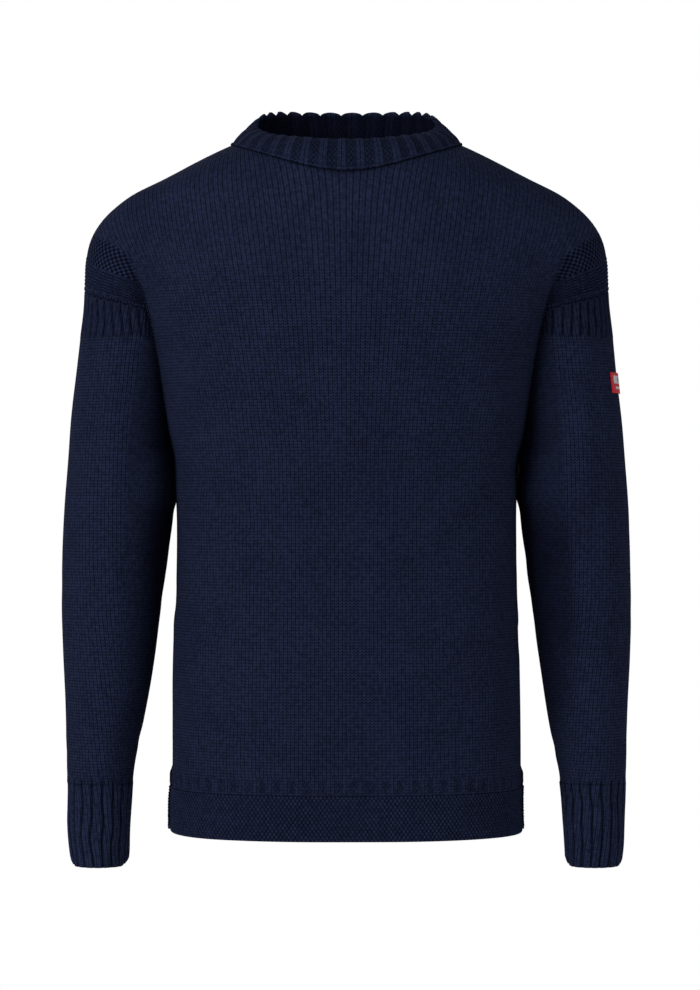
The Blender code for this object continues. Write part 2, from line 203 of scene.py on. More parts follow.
# The torso's level sections, from above the neck down to the hem
TORSO_COLUMNS = ("z", "half_width", "front_depth", "back_depth", "squareness")
TORSO = (
    (0.0300, 0.0500, 0.0200, 0.0500, 2.0),
    (0.0120, 0.0920, 0.0450, 0.0750, 2.0),
    (0.0000, 0.1195, 0.0680, 0.0880, 2.0),
    (-0.0120, 0.1445, 0.0845, 0.0960, 2.0),
    (-0.0315, 0.1800, 0.1000, 0.1060, 2.0),
    (-0.0450, 0.1990, 0.1065, 0.1120, 2.0),
    (-0.0620, 0.2100, 0.1130, 0.1170, 2.0),
    (-0.0850, 0.2210, 0.1190, 0.1220, 2.1),
    (-0.1130, 0.2270, 0.1245, 0.1260, 2.2),
    (-0.1500, 0.2140, 0.1290, 0.1280, 2.3),
    (-0.2000, 0.1965, 0.1320, 0.1250, 2.4),
    (-0.2500, 0.1850, 0.1310, 0.1190, 2.4),
    (-0.2800, 0.1785, 0.1300, 0.1155, 2.5),
    (-0.3050, 0.1735, 0.1290, 0.1120, 2.5),
    (-0.3250, 0.1712, 0.1280, 0.1100, 2.5),
    (-0.3600, 0.1695, 0.1265, 0.1060, 2.5),
    (-0.4220, 0.1695, 0.1240, 0.1020, 2.5),
    (-0.4820, 0.1715, 0.1230, 0.1020, 2.5),
    (-0.5520, 0.1735, 0.1240, 0.1060, 2.5),
    (-0.6140, 0.1738, 0.1255, 0.1100, 2.5),
    (-0.6815, 0.1745, 0.1260, 0.1120, 2.5),
)

# The hanging arm's level sections: its outer and inner sides from the middle of the body, and how far
# forward it is
ARM_COLUMNS = ("z", "outer", "inner", "half_depth", "forward")
ARM = (
    (-0.1250, 0.2620, 0.1500, 0.0680, -0.012),
    (-0.1520, 0.2630, 0.1520, 0.0700, -0.012),
    (-0.1920, 0.2675, 0.1585, 0.0710, -0.011),
    (-0.2320, 0.2715, 0.1655, 0.0705, -0.009),
    (-0.2720, 0.2755, 0.1710, 0.0700, -0.006),
    (-0.3050, 0.2780, 0.1735, 0.0690, -0.004),
    (-0.3520, 0.2815, 0.1727, 0.0670, -0.001),
    (-0.4020, 0.2835, 0.1775, 0.0640, 0.002),
    (-0.4520, 0.2845, 0.1845, 0.0605, 0.005),
    (-0.5020, 0.2825, 0.1910, 0.0560, 0.009),
    (-0.5520, 0.2800, 0.1985, 0.0510, 0.014),
    (-0.5920, 0.2785, 0.2055, 0.0470, 0.018),
    (-0.6220, 0.2775, 0.2112, 0.0430, 0.021),
    (-0.6320, 0.2770, 0.2125, 0.0410, 0.022),
    (-0.6720, 0.2760, 0.2145, 0.0370, 0.026),
    (-0.7132, 0.2725, 0.2165, 0.0340, 0.030),
)
ARM_CAP_Z = -0.125
ARM_CAP_HEIGHT = 0.067
SHOULDER_BLEND = 0.050
BLEND_TOP_Z = -0.085
BLEND_END_Z = -0.165

# Soft folds: each is a trough between two places on the front (side -1) or the back (side 1). A row says
# side, from_x, from_z, to_x, to_z, depth and width.
FOLDS = (
    (-1, -0.160, -0.318, -0.092, -0.372, 0.0022, 0.011),
    (-1, -0.158, -0.290, -0.108, -0.262, 0.0018, 0.010),
    (-1, 0.160, -0.322, 0.104, -0.392, 0.0024, 0.012),
    (-1, 0.157, -0.296, 0.098, -0.250, 0.0016, 0.011),
    (-1, -0.166, -0.452, -0.118, -0.474, 0.0016, 0.010),
    (-1, 0.166, -0.488, 0.112, -0.506, 0.0018, 0.011),
    (-1, -0.140, -0.560, -0.060, -0.574, 0.0012, 0.013),
    (-1, 0.126, -0.575, 0.040, -0.566, 0.0012, 0.014),
    (1, -0.158, -0.316, -0.080, -0.352, 0.0030, 0.013),
    (1, 0.158, -0.320, 0.090, -0.366, 0.0028, 0.012),
    (1, -0.130, -0.420, 0.020, -0.436, 0.0026, 0.016),
    (1, 0.150, -0.470, -0.036, -0.484, 0.0022, 0.015),
    (1, -0.150, -0.522, -0.060, -0.536, 0.0018, 0.013),
    (1, 0.134, -0.206, 0.126, -0.288, 0.0020, 0.014),
    (1, -0.136, -0.212, -0.124, -0.300, 0.0022, 0.013),
    (-1, 0.250, -0.200, 0.246, -0.420, 0.0020, 0.0085),
    (-1, -0.246, -0.250, -0.240, -0.440, 0.0016, 0.0085),
    (-1, -0.196, -0.402, -0.246, -0.428, 0.0018, 0.010),
    (-1, -0.206, -0.448, -0.268, -0.438, 0.0014, 0.009),
    (-1, 0.198, -0.414, 0.250, -0.436, 0.0018, 0.011),
    (-1, 0.204, -0.468, 0.262, -0.462, 0.0016, 0.009),
    (-1, -0.214, -0.588, -0.262, -0.600, 0.0014, 0.008),
    (-1, 0.216, -0.596, 0.258, -0.588, 0.0015, 0.008),
    (1, -0.200, -0.396, -0.262, -0.418, 0.0024, 0.011),
    (1, 0.198, -0.402, 0.258, -0.386, 0.0026, 0.012),
    (1, 0.206, -0.452, 0.270, -0.466, 0.0020, 0.010),
    (1, -0.212, -0.470, -0.266, -0.452, 0.0018, 0.010),
)

HAND_NAMES = {1: "left", -1: "right"}
SIDE_NAMES = {-1: "front", 1: "back"}

# The wool's own navy, the near black painted as shade into the gaps between stitches, and the sheen's tint
WOOL_LIGHT = (0.0190, 0.0260, 0.0640, 1.0)
WOOL_GAP_SHADE = (0.0016, 0.0020, 0.0060, 1.0)
WOOL_SHEEN = (0.52, 0.60, 0.95, 1.0)
LABEL_RED = (0.95, 0.012, 0.036, 1.0)
LABEL_WHITE = (0.95, 0.95, 0.96, 1.0)
LABEL_BLUE = (0.02, 0.05, 0.28, 1.0)


# --- Numbers --------------------------------------------------------------------------------------


def smooth_column(rows, names, name):
    """A smooth curve through one column of a table, over the heights in its first column."""
    table = np.array(sorted(rows))
    z, value = table[:, 0], table[:, names.index(name)]
    slopes = np.gradient(value, z)

    def at(height):
        height = np.clip(height, z[0], z[-1])
        i = np.clip(np.searchsorted(z, height) - 1, 0, len(z) - 2)
        step = z[i + 1] - z[i]
        t = (height - z[i]) / step
        return (
            (1 + 2 * t) * (1 - t) ** 2 * value[i]
            + t * (1 - t) ** 2 * step * slopes[i]
            + t**2 * (3 - 2 * t) * value[i + 1]
            + t**2 * (t - 1) * step * slopes[i + 1]
        )

    return at


def ease(t):
    """From 0 to 1, level at both ends."""
    t = np.clip(t, 0.0, 1.0)
    return t * t * (3 - 2 * t)


def along_of(points):
    """How far along a line each of its points lies. Lines run down the first axis."""
    steps = np.linalg.norm(np.diff(points, axis=0), axis=-1)
    return np.concatenate([np.zeros((1, *steps.shape[1:])), np.cumsum(steps, axis=0)])


def read_along(along, values, wanted):
    """Values at wanted places along a line."""
    values = np.asarray(values)
    if values.ndim == 1:
        return np.interp(wanted, along, values)
    return np.stack([np.interp(wanted, along, values[:, axis]) for axis in range(values.shape[1])], axis=1)


def evenly(points, count):
    """count + 1 points an equal distance apart along a line of many points."""
    along = along_of(points)
    return read_along(along, points, np.linspace(0.0, along[-1], count + 1))


def finer(grid, rows, columns):
    """A grid read at many more places, straight between its own points."""
    for axis, count in ((0, rows), (1, columns)):
        grid = np.moveaxis(grid, axis, 0)
        at = np.linspace(0.0, len(grid) - 1, count + 1)
        low = np.minimum(at.astype(int), len(grid) - 2)
        share = (at - low).reshape(-1, *[1] * (grid.ndim - 1))
        grid = np.moveaxis(grid[low] * (1 - share) + grid[low + 1] * share, 0, axis)
    return grid


def crossing(gap, inside, outside, rounds=40):
    """Halves the way between a point inside a form and one outside it until it is on the form."""
    for _ in range(rounds):
        middle = (inside + outside) / 2
        is_out = (gap(middle) > 0)[..., None]
        inside = np.where(is_out, inside, middle)
        outside = np.where(is_out, middle, outside)
    return (inside + outside) / 2


def unevenness(points, size, seed):
    """A smooth random value from about -1 to 1 in space, made of a few slanting waves."""
    draw = np.random.default_rng(seed)
    total = 0.0
    for _ in range(7):
        way = draw.normal(size=3)
        way *= 2 * pi / (size * draw.uniform(0.7, 1.5)) / np.linalg.norm(way)
        total = total + np.sin(points @ way + draw.uniform(0, 2 * pi))
    return total / 3.5


# --- The form that the cloth lies on --------------------------------------------------------------

torso = {name: smooth_column(TORSO, TORSO_COLUMNS, name) for name in TORSO_COLUMNS[1:]}
arm = {name: smooth_column(ARM, ARM_COLUMNS, name) for name in ARM_COLUMNS[1:]}


def torso_gap(points):
    """How far points are outside the torso, measured level."""
    x, y, z = np.abs(points[..., 0]), points[..., 1], points[..., 2]
    depth = np.where(y < 0, torso["front_depth"](z), torso["back_depth"](z))
    power = torso["squareness"](z)
    share = ((x / torso["half_width"](z)) ** power + (np.abs(y) / depth) ** power) ** (1 / power)
    return np.hypot(x, y) * (1 - 1 / share)


def arm_gap(points):
    """How far points are outside the arm, which ends at the top in a rounded cap."""
    x, y, z = np.abs(points[..., 0]), points[..., 1], points[..., 2]
    outer, inner = arm["outer"](z), arm["inner"](z)
    across = x - (outer + inner) / 2
    forward = y + arm["forward"](z)
    rise = np.maximum(z - ARM_CAP_Z, 0.0)
    share = np.sqrt(
        (across / ((outer - inner) / 2)) ** 2
        + (forward / arm["half_depth"](z)) ** 2
        + (rise / ARM_CAP_HEIGHT) ** 2
    )
    return np.sqrt(across**2 + forward**2 + rise**2) * (1 - 1 / share)


def body_gap(points):
    """How far points are outside the panels' form: the torso, run softly into the arm above the crease."""
    first, second = torso_gap(points), arm_gap(points)
    softness = ease((points[..., 2] - BLEND_END_Z) / (BLEND_TOP_Z - BLEND_END_Z))
    reach = SHOULDER_BLEND * softness + 1e-4
    nearness = np.maximum(reach - np.abs(first - second), 0.0) / reach
    together = np.minimum(first, second) - nearness**2 * reach / 4
    return np.where(points[..., 2] > BLEND_END_Z, together, first)


def slope_of(gap, points, step=1e-4):
    """The direction in which gap grows, and how fast."""
    moves = np.eye(3) * step
    return np.stack([(gap(points + move) - gap(points - move)) / (2 * step) for move in moves], axis=-1)


def outward(gap, points):
    """The direction straight out of a form."""
    slope = slope_of(gap, points)
    return slope / np.linalg.norm(slope, axis=-1, keepdims=True)


def settled(points, gap, rounds=6):
    """Points moved straight onto a form."""
    for _ in range(rounds):
        slope = slope_of(gap, points)
        points = points - slope * (gap(points) / (slope**2).sum(axis=-1))[..., None]
    return points


def torso_section(z, side, gap_at_side=0.0):
    """A level line round half of the torso, from the middle to the side. side is -1 in front and 1 behind."""
    angle = np.linspace(0.0, pi / 2, SECTION_POINTS)
    power = float(torso["squareness"](z))
    depth = float(torso["front_depth" if side < 0 else "back_depth"](z))
    x = float(torso["half_width"](z)) * np.sin(angle) ** (2 / power)
    y = side * depth * np.cos(angle) ** (2 / power)
    line = np.stack([x, y, np.full_like(x, z)], axis=1)
    return line[np.abs(y) >= gap_at_side - 1e-9]


def arm_point(angle, z):
    """A point on the arm: angle 0 is its outer side, pi / 2 its front, pi its inner side."""
    outer, inner = arm["outer"](z), arm["inner"](z)
    x = (outer + inner) / 2 + (outer - inner) / 2 * np.cos(angle)
    y = -arm["forward"](z) - arm["half_depth"](z) * np.sin(angle)
    return np.stack([x, y, z + 0 * x], axis=-1)


def crease_angle(z, side):
    """The angle round the arm at which it runs into the torso, in front (side -1) or behind (side 1)."""
    angle = np.linspace(pi / 2, pi, TURN_POINTS)
    inside = torso_gap(arm_point(-side * angle, np.full_like(angle, z))) < 0
    return -side * (angle[np.argmax(inside)] if inside.any() else pi)


def armhole(side, rows):
    """(angle, height) down one half of the armhole seam, from the underarm up the crease and over the arm."""
    heights = np.linspace(UNDERARM_Z, CREASE_TOP_Z, rows // 2 + 1)
    angles = [-side * pi] + [crease_angle(z, side) for z in heights[1:]]
    over = np.linspace(0.0, 1.0, rows // 2 + 1)[1:]
    heights_over = CREASE_TOP_Z + (SHOULDER_TIP_Z - CREASE_TOP_Z) * over
    return np.concatenate([angles, angles[-1] * (1 - over)]), np.concatenate([heights, heights_over])


def neck_foot(side):
    """The foot of the neckband on the shoulders, from the middle of the front or back to the side."""
    angle = np.linspace(0.0, pi / 2, LINE_POINTS)
    depth = NECK_FOOT_FRONT if side < 0 else NECK_FOOT_BACK
    plan = np.stack([NECK_HALF_WIDTH * np.sin(angle), side * depth * np.cos(angle), 0 * angle], axis=1)
    drop = np.array([0.0, 0.0, NECK_SEARCH])
    return crossing(torso_gap, plan - drop, plan + drop / 2)


def shoulder_line(neck_point, tip):
    """Along the top of the shoulder, from the neck to the tip of the armhole."""
    centre = np.array([NECK_HALF_WIDTH, 0.0, SHOULDER_MIDDLE_Z])
    first, last = (np.arctan2(*(end - centre)[[0, 2]]) for end in (neck_point, tip))
    angle = np.linspace(first, last, SHOULDER_POINTS)
    ray = np.stack([np.sin(angle), 0 * angle, np.cos(angle)], axis=1)
    near, far = SHOULDER_SEARCH
    line = crossing(body_gap, centre + near * ray, centre + far * ray)
    line[:, 1] += tip[1] * np.linspace(0.0, 1.0, len(line))
    line = settled(line, body_gap)
    line[0], line[-1] = neck_point, tip
    return line


def folds_at(points):
    """How far the cloth sinks at each point, from the folds near it and a slight general unevenness."""
    sunk = UNEVEN_DEPTH * unevenness(points, 0.09, 3)
    for side, from_x, from_z, to_x, to_z, depth, width in FOLDS:
        start, run = np.array([from_x, from_z]), np.array([to_x - from_x, to_z - from_z])
        offset = points[..., [0, 2]] - start
        share = (offset @ run) / (run @ run)
        bend = 0.25 * width * np.sin(3 * pi * share)
        beside = (offset[..., 0] * run[1] - offset[..., 1] * run[0]) / np.linalg.norm(run) - bend
        past_end = np.maximum(np.abs(share - 0.5) - 0.5, 0.0) * np.linalg.norm(run)
        near = np.exp(-((beside / width) ** 2) - (past_end / (1.6 * width)) ** 2)
        ridge = 0.35 * np.exp(-(((beside - 1.9 * width) / width) ** 2) - (past_end / (1.6 * width)) ** 2)
        facing = ease(0.5 + side * points[..., 1] / 0.05)
        sunk = sunk + depth * facing * (near - ridge)
    return sunk


# --- Shells ---------------------------------------------------------------------------------------


def placed(name, data):
    """A new object in the scene."""
    thing = bpy.data.objects.new(name, data)
    bpy.context.scene.collection.objects.link(thing)
    return thing


def shell(name, outer, inner, material, ring=False, maps=None, values=None):
    """One closed thin solid between two grids of points.

    maps are its UV maps and values its point attributes. A ring's grid meets itself, and its maps have one
    column more than its points. A value is one grid for both walls, or a pair of grids.
    """
    rows, columns = outer.shape[:2]
    count = rows * columns
    place = np.arange(count).reshape(rows, columns)
    if ring:
        place = np.concatenate([place, place[:, :1]], axis=1)
    spot = np.arange(place.size).reshape(place.shape)

    def quads(grid):
        return np.stack([grid[:-1, :-1], grid[:-1, 1:], grid[1:, 1:], grid[1:, :-1]], axis=-1).reshape(-1, 4)

    def rim(line, depth):
        return np.stack([line[1:], line[:-1], line[:-1] + depth, line[1:] + depth], axis=1)

    sides = [np.s_[0], np.s_[-1, ::-1]] + ([] if ring else [np.s_[:, -1], np.s_[::-1, 0]])
    both_walls = [quads(place), quads(place)[:, ::-1] + count]
    faces = np.concatenate([*both_walls, *(rim(place[s], count) for s in sides)])
    spots = np.concatenate([quads(spot), quads(spot)[:, ::-1], *(rim(spot[s], 0) for s in sides)])
    points = np.concatenate([outer.reshape(-1, 3), inner.reshape(-1, 3)])
    a, b, c, d = (points[faces[:, corner]] for corner in range(4))
    volume = np.einsum("ij,ij->", a, np.cross(b, c)) + np.einsum("ij,ij->", a, np.cross(c, d))
    if volume < 0:
        faces, spots = faces[:, ::-1], spots[:, ::-1]

    mesh = bpy.data.meshes.new(name)
    mesh.from_pydata(points.tolist(), [], faces.tolist())
    for map_name, grid in (maps or {}).items():
        layer = mesh.uv_layers.new(name=map_name)
        layer.data.foreach_set("uv", grid.reshape(-1, 2)[spots].astype(np.float32).ravel())
    for value_name, grid in (values or {}).items():
        pair = grid if isinstance(grid, tuple) else (grid, grid)
        both = np.concatenate([np.broadcast_to(one, (rows, columns)).ravel() for one in pair])
        mesh.attributes.new(value_name, "FLOAT", "POINT").data.foreach_set("value", both.astype(np.float32))
    smooth = np.arange(len(faces)) < 2 * (rows - 1) * (place.shape[1] - 1)
    mesh.polygons.foreach_set("use_smooth", smooth)
    mesh.materials.append(material)
    return placed(name, mesh)


def across(half, mirror=(-1.0, 1.0, 1.0)):
    """The whole of a grid from its +X half, in columns from -X to +X."""
    return np.concatenate([half[:, :0:-1] * np.array(mirror), half], axis=1)


def pulled_in(walls, edge, distance):
    """Both walls of a piece with one edge moved inwards, or outwards where the distance is negative."""
    edge_at, next_at = {
        "bottom": (np.s_[0], np.s_[1]),
        "top": (np.s_[-1], np.s_[-2]),
        "left": (np.s_[:, 0], np.s_[:, 1]),
        "right": (np.s_[:, -1], np.s_[:, -2]),
    }[edge]
    for wall in walls:
        inwards = wall[next_at] - wall[edge_at]
        wall[edge_at] += distance * inwards / np.linalg.norm(inwards, axis=-1, keepdims=True)
    return walls


def tight_rib(phase):
    """A drawn-in rib's height over phases of one rib each: 1 on its wales, -1 in the trough between ribs."""
    from_trough = np.abs(phase % 1.0 - 0.5)
    from_crown = 0.5 - from_trough
    return 1 - 2 * np.exp(-((from_trough / 0.12) ** 2)) - 0.35 * np.exp(-((from_crown / 0.06) ** 2))


def open_rib(phase):
    """A relaxed rib's height over phases of one rib each: 1 on its knit wales, -1 on its purl ones."""
    return np.tanh(3.0 * np.cos(2 * pi * phase)) - 0.35 * np.exp(-(((phase + 0.5) % 1.0 - 0.5) / 0.05) ** 2)


# --- Front and back -------------------------------------------------------------------------------


def relaxed(grid, rounds):
    """A grid on the body's form whose inner points have spread out evenly."""
    inner = (slice(1, -1), slice(1, -1))
    for _ in range(rounds):
        grid[inner] = (grid[:-2, 1:-1] + grid[2:, 1:-1] + grid[1:-1, :-2] + grid[1:-1, 2:]) / 4
        grid[inner] = settled(grid[inner], body_gap, 2)
    return grid


def edges_of_half(side, columns, rows):
    """The bottom, top, middle and armhole edges of half a panel above the underarm."""
    edge = arm_point(*armhole(side, rows))
    neck_columns = columns * 3 // 8
    neck = evenly(neck_foot(side), neck_columns)
    top = np.concatenate([neck[:-1], evenly(shoulder_line(neck[-1], edge[-1]), columns - neck_columns)])
    bottom = evenly(torso_section(UNDERARM_Z, side), columns)
    bottom[-1] = edge[0]
    heights = np.linspace(UNDERARM_Z, top[0][2], rows + 1)
    depth = torso["front_depth" if side < 0 else "back_depth"](heights)
    return bottom, top, np.stack([0 * heights, side * depth, heights], axis=1), edge


def upper_half(side):
    """Half of the front or back above the underarm: rows go up, columns from the middle to the armhole."""
    columns, rows = MIDDLE_COLUMNS // 4, MIDDLE_ROWS // 4
    bottom, top, middle, edge = edges_of_half(side, columns, rows)
    u = np.linspace(0.0, 1.0, columns + 1)[None, :, None]
    v = np.linspace(0.0, 1.0, rows + 1)[:, None, None]
    corners = (1 - v) * ((1 - u) * bottom[0] + u * bottom[-1]) + v * ((1 - u) * top[0] + u * top[-1])
    grid = (1 - v) * bottom + v * top + (1 - u) * middle[:, None] + u * edge[:, None] - corners
    grid = finer(relaxed(grid, FIRST_ROUNDS), MIDDLE_ROWS, MIDDLE_COLUMNS)
    grid[0], grid[-1], grid[:, 0], grid[:, -1] = edges_of_half(side, MIDDLE_COLUMNS, MIDDLE_ROWS)
    grid = finer(relaxed(grid, LAST_ROUNDS), UPPER_ROWS, MIDDLE_COLUMNS)
    grid[1:-1, 1:-1] = settled(grid[1:-1, 1:-1], body_gap)
    return grid


def lower_half(side, heights, columns):
    """Half of a panel between level heights. Below the vent's top its edge stands clear of the side."""
    rows = []
    for z in heights:
        opened = ease((VENT_TOP_Z - z) / VENT_OPENING_RISE)
        row = evenly(torso_section(z, side, opened * VENT_GAP if side < 0 else 0.0), columns)
        if side > 0:
            near_side = ease(1 - (row[-1, 0] - row[:, 0]) / VENT_FLARE_REACH) * (row[:, 1] < VENT_FLARE_REACH)
            row[:, 0] += opened * VENT_FLARE * near_side
        rows.append(row)
    return np.array(rows)


def panel_grid(side):
    """Half of a panel, with its points close together near the armhole.

    Beside the points it gives the wales passed at each one, its distance from the armhole seam, and the
    number of rows below the underarm.
    """
    in_blocks = np.linspace(WELT_TOP_Z, HEM_BLOCKS_TOP_Z + 0.004, HEM_BAND_ROWS + 1)
    over_blocks = np.linspace(HEM_BLOCKS_TOP_Z, UNDERARM_Z, LOWER_ROWS)[1:-1]
    heights = np.unique(np.round(np.concatenate([in_blocks, over_blocks]), 5))
    coarse = np.concatenate([lower_half(side, heights, MIDDLE_COLUMNS), upper_half(side)])
    shares = np.linspace(0.0, 1.0, MIDDLE_COLUMNS + 1)
    half, wale_at, from_seam = [], [], []
    for row in coarse:
        along = along_of(row)
        plain = np.linspace(0.0, along[-1] - BORDER_REACH, PLAIN_COLUMNS + 1)
        border = np.linspace(along[-1] - BORDER_REACH, along[-1], BORDER_COLUMNS + 1)[1:]
        wanted = np.concatenate([plain, border])
        half.append(read_along(along, row, wanted))
        wale_at.append(read_along(along, shares, wanted) * HALF_WALES)
        from_seam.append(along[-1] - wanted)
    half, wale_at, from_seam = np.array(half), np.array(wale_at), np.array(from_seam)
    above = len(heights)
    inner = (slice(above + 1, -1), slice(1, -1))
    half[inner] = settled(half[inner], body_gap, 3)
    return half, wale_at, from_seam, above


def panel_patterns(side, half, wale_at, from_seam, above):
    """What each point of half a panel carries: its places on the cloth, its patterns and its painted shade.
    """
    # Where it lies: up its column, up from the hem in the middle, and from the armhole seam
    z = half[..., 2]
    lengths = along_of(half)
    up = lengths.mean(axis=1)[:, None] + 0 * from_seam
    along_seam = lengths[:, -1:] + 0 * from_seam
    heights_up = np.linspace(HEM_Z, TORSO[0][0], LINE_POINTS)
    depths_up = torso["front_depth" if side < 0 else "back_depth"](heights_up)
    level = np.interp(z, heights_up, along_of(np.stack([depths_up, heights_up], axis=1)))
    crease_end = lengths[above:, -1][z[above:, -1] > CREASE_TOP_Z][0]
    near_crease = np.clip((lengths[-1:, -1:] - along_seam) / (lengths[-1, -1] - crease_end), 0.0, 1.0)
    band_at = from_seam * (1 + BORDER_NARROWING * near_crease)

    # Ridges and moss stitch on the upper arm, and purl blocks above the welt
    onto_arm = torso_gap(half) - arm_gap(half)
    past_crease = onto_arm + 0.002
    on_arm = ease((onto_arm - 0.001) / 0.006)
    on_arm[:above] = 0.0
    ridge_end = RIDGE_FIRST + RIDGE_COUNT * RIDGE_PITCH
    ridges = ease((band_at - RIDGE_FIRST) / 0.001) * ease((ridge_end - band_at) / 0.001) * on_arm
    before_crease = ease(past_crease / 0.002)
    before_crease[:above] = 0.0
    moss = ease((band_at - MOSS_FROM) / 0.0015) * ease((MOSS_TO - band_at) / 0.002) * before_crease
    in_band = ease((HEM_BLOCKS_TOP_Z - z) / 0.0015) * ease((z - WELT_TOP_Z - 0.0012) / 0.0015)
    in_band[above:] = 0.0
    block = np.tanh(3.0 * np.cos(2 * pi * wale_at * WALE / HEM_BLOCK)) * np.ones_like(up)
    ridge = -np.cos(2 * pi * (band_at - RIDGE_FIRST) / RIDGE_PITCH)
    relief = ridges * ridge * 0.70 + in_band * block * 0.75
    purl = in_band * (0.5 - 0.5 * block)

    # Painted shade between the ridges, under the neckband, in the furrow, on the shoulders and at the armhole
    painted_shade = ridges * (0.5 - 0.5 * ridge) ** 2
    below_neck = lengths[-1:] - lengths + 0.02 * ease((half[-1:, :, 0] - NECK_HALF_WIDTH + 0.001) / 0.002)
    painted_shade = np.maximum(painted_shade, 0.9 * np.exp(-((below_neck / NECK_SHADE_WIDTH) ** 2)))
    furrow = ease(past_crease / 0.0015) * np.exp(-((past_crease / FURROW_WIDTH) ** 2))
    furrow = furrow * ease((FURROW_TOP_Z - z) / 0.05) * ease((z - UNDERARM_Z) / 0.02)
    painted_shade = 1 - (1 - painted_shade) * (1 - 0.85 * furrow)
    stretched = ease((z - STRETCHED_FROM_Z) / 0.10)
    painted_shade = np.maximum(painted_shade, 0.16 * stretched)
    painted_shade = np.maximum(painted_shade, 0.85 * on_arm * np.exp(-((from_seam / ARMHOLE_SHADE_WIDTH) ** 2)))
    return {
        "up": up, "level": level, "band_at": band_at, "along_seam": along_seam, "from_seam": from_seam,
        "relief": relief, "furrow": furrow, "painted_shade": painted_shade, "moss": moss, "purl": purl,
        "stretched": stretched,
    }


def body_panel(side):
    """The front (side -1) or back (side 1) from the welt to the neck and shoulders, as a shell."""
    half, wale_at, from_seam, above = panel_grid(side)
    patterns = panel_patterns(side, half, wale_at, from_seam, above)
    at = {name: across(grid[..., None], (1.0,))[..., 0] for name, grid in patterns.items()}
    wales = across(wale_at[..., None], (-1.0,))[..., 0]
    whole = across(half)
    direction = outward(body_gap, whole)
    to_top = at["up"][-1:] - at["up"]
    free = ease(at["from_seam"] / 0.020) * ease(to_top / 0.020) * ease((at["up"] + 0.002) / 0.03)
    sunk = (folds_at(whole) + FURROW_DEPTH * at["furrow"]) * free
    shaped = whole + direction * (PANEL_RELIEF * at["relief"] - sunk)[..., None]
    walls = (shaped, whole - direction * (BODY_THICKNESS + sunk)[..., None])
    for edge in ("top", "left", "right", "bottom"):
        pulled_in(walls, edge, -SEAM_LAP)
    maps = {
        "stitch": np.stack([wales * WALE, at["level"]], axis=-1),
        "border": np.stack([at["band_at"], at["along_seam"]], axis=-1),
    }
    values = {name: at[name] for name in ("painted_shade", "moss", "purl", "stretched")}
    return shell(f"knitted_{SIDE_NAMES[side]}", *walls, materials["body"], maps=maps, values=values)


def welt(side):
    """The garter welt below the front or back, with its lower corners rounded at the vents."""
    half = lower_half(side, np.linspace(HEM_Z, WELT_TOP_Z, WELT_ROWS + 1), WELT_COLUMNS)
    direction = outward(torso_gap, half)
    half = half + BAND_PROUD * direction
    from_vent = np.linalg.norm(half[0] - half[0, -1], axis=1)
    rounding = np.maximum(VENT_CORNER_RADIUS - from_vent, 0.0)
    lift = VENT_CORNER_RADIUS - np.sqrt(VENT_CORNER_RADIUS**2 - rounding**2)
    share = np.linspace(1.0, 0.0, WELT_ROWS + 1)[:, None]
    half[..., 2] += lift * share**4
    whole, direction = across(half), across(direction)
    width = along_of(np.moveaxis(whole, 1, 0)).T
    width = width - width[:, [WELT_COLUMNS]]
    up = (whole[..., 2] - HEM_Z) + 0 * width
    rows = up / (WELT_TOP_Z - HEM_Z) * GARTER_ROWS
    leaning = 1.3 * (rows % 1.0 - 0.5)
    bump = np.cos(2 * pi * width / WALE + pi * np.floor(rows) + leaning) * np.abs(np.sin(pi * rows)) ** 0.7
    relief = 0.9 * bump + 0.25 * np.abs(np.sin(pi * rows)) ** 0.6 - 0.15
    sunk = GARTER_UNEVEN_DEPTH * unevenness(whole, 0.12, 5) * ease(share * 3)
    shaped = whole + direction * (GARTER_RELIEF * relief - sunk)[..., None]
    inner = whole - direction * (WELT_THICKNESS - 0.0004 + sunk)[..., None]
    return shell(
        f"garter_welt_{SIDE_NAMES[side]}",
        shaped,
        inner,
        materials["garter"],
        maps={"stitch": np.stack([width, up], axis=-1)},
        # Shade painted into the troughs between the garter bumps
        values={"painted_shade": np.clip(0.62 - 1.00 * relief, 0, 1)},
    )


# --- Sleeves and cuffs ----------------------------------------------------------------------------


def armhole_ring(columns):
    """(angle, height) evenly round the armhole, from the underarm over the front, and its whole length."""
    (front, front_z), (back, back_z) = (armhole(side, ARMHOLE_POINTS) for side in (-1, 1))
    angle = np.concatenate([front, back[-2::-1]])
    height = np.concatenate([front_z, back_z[-2::-1]])
    along = along_of(arm_point(angle, height))
    wanted = np.linspace(0.0, along[-1], columns + 1)
    return read_along(along, angle, wanted), read_along(along, height, wanted), along[-1]


def round_maps(points):
    """The stitch map of a ring: distance round it from its outer side, and height."""
    closed = np.concatenate([points, points[:, :1]], axis=1)
    width = along_of(np.moveaxis(closed, 1, 0)).T
    width = width - width[:, [np.argmax(np.abs(closed[0, :, 0]))]]
    return {"stitch": np.stack([width, closed[..., 2]], axis=-1)}


def cuff_ribs():
    """Angles round the cuff, and how many ribs have been passed at each."""
    angle = np.linspace(pi, -pi, TURN_POINTS)
    along = along_of(arm_point(angle, np.full_like(angle, (CUFF_TOP_Z + CUFF_END_Z) / 2)))
    return angle, along * round(along[-1] / CUFF_RIB) / along[-1]


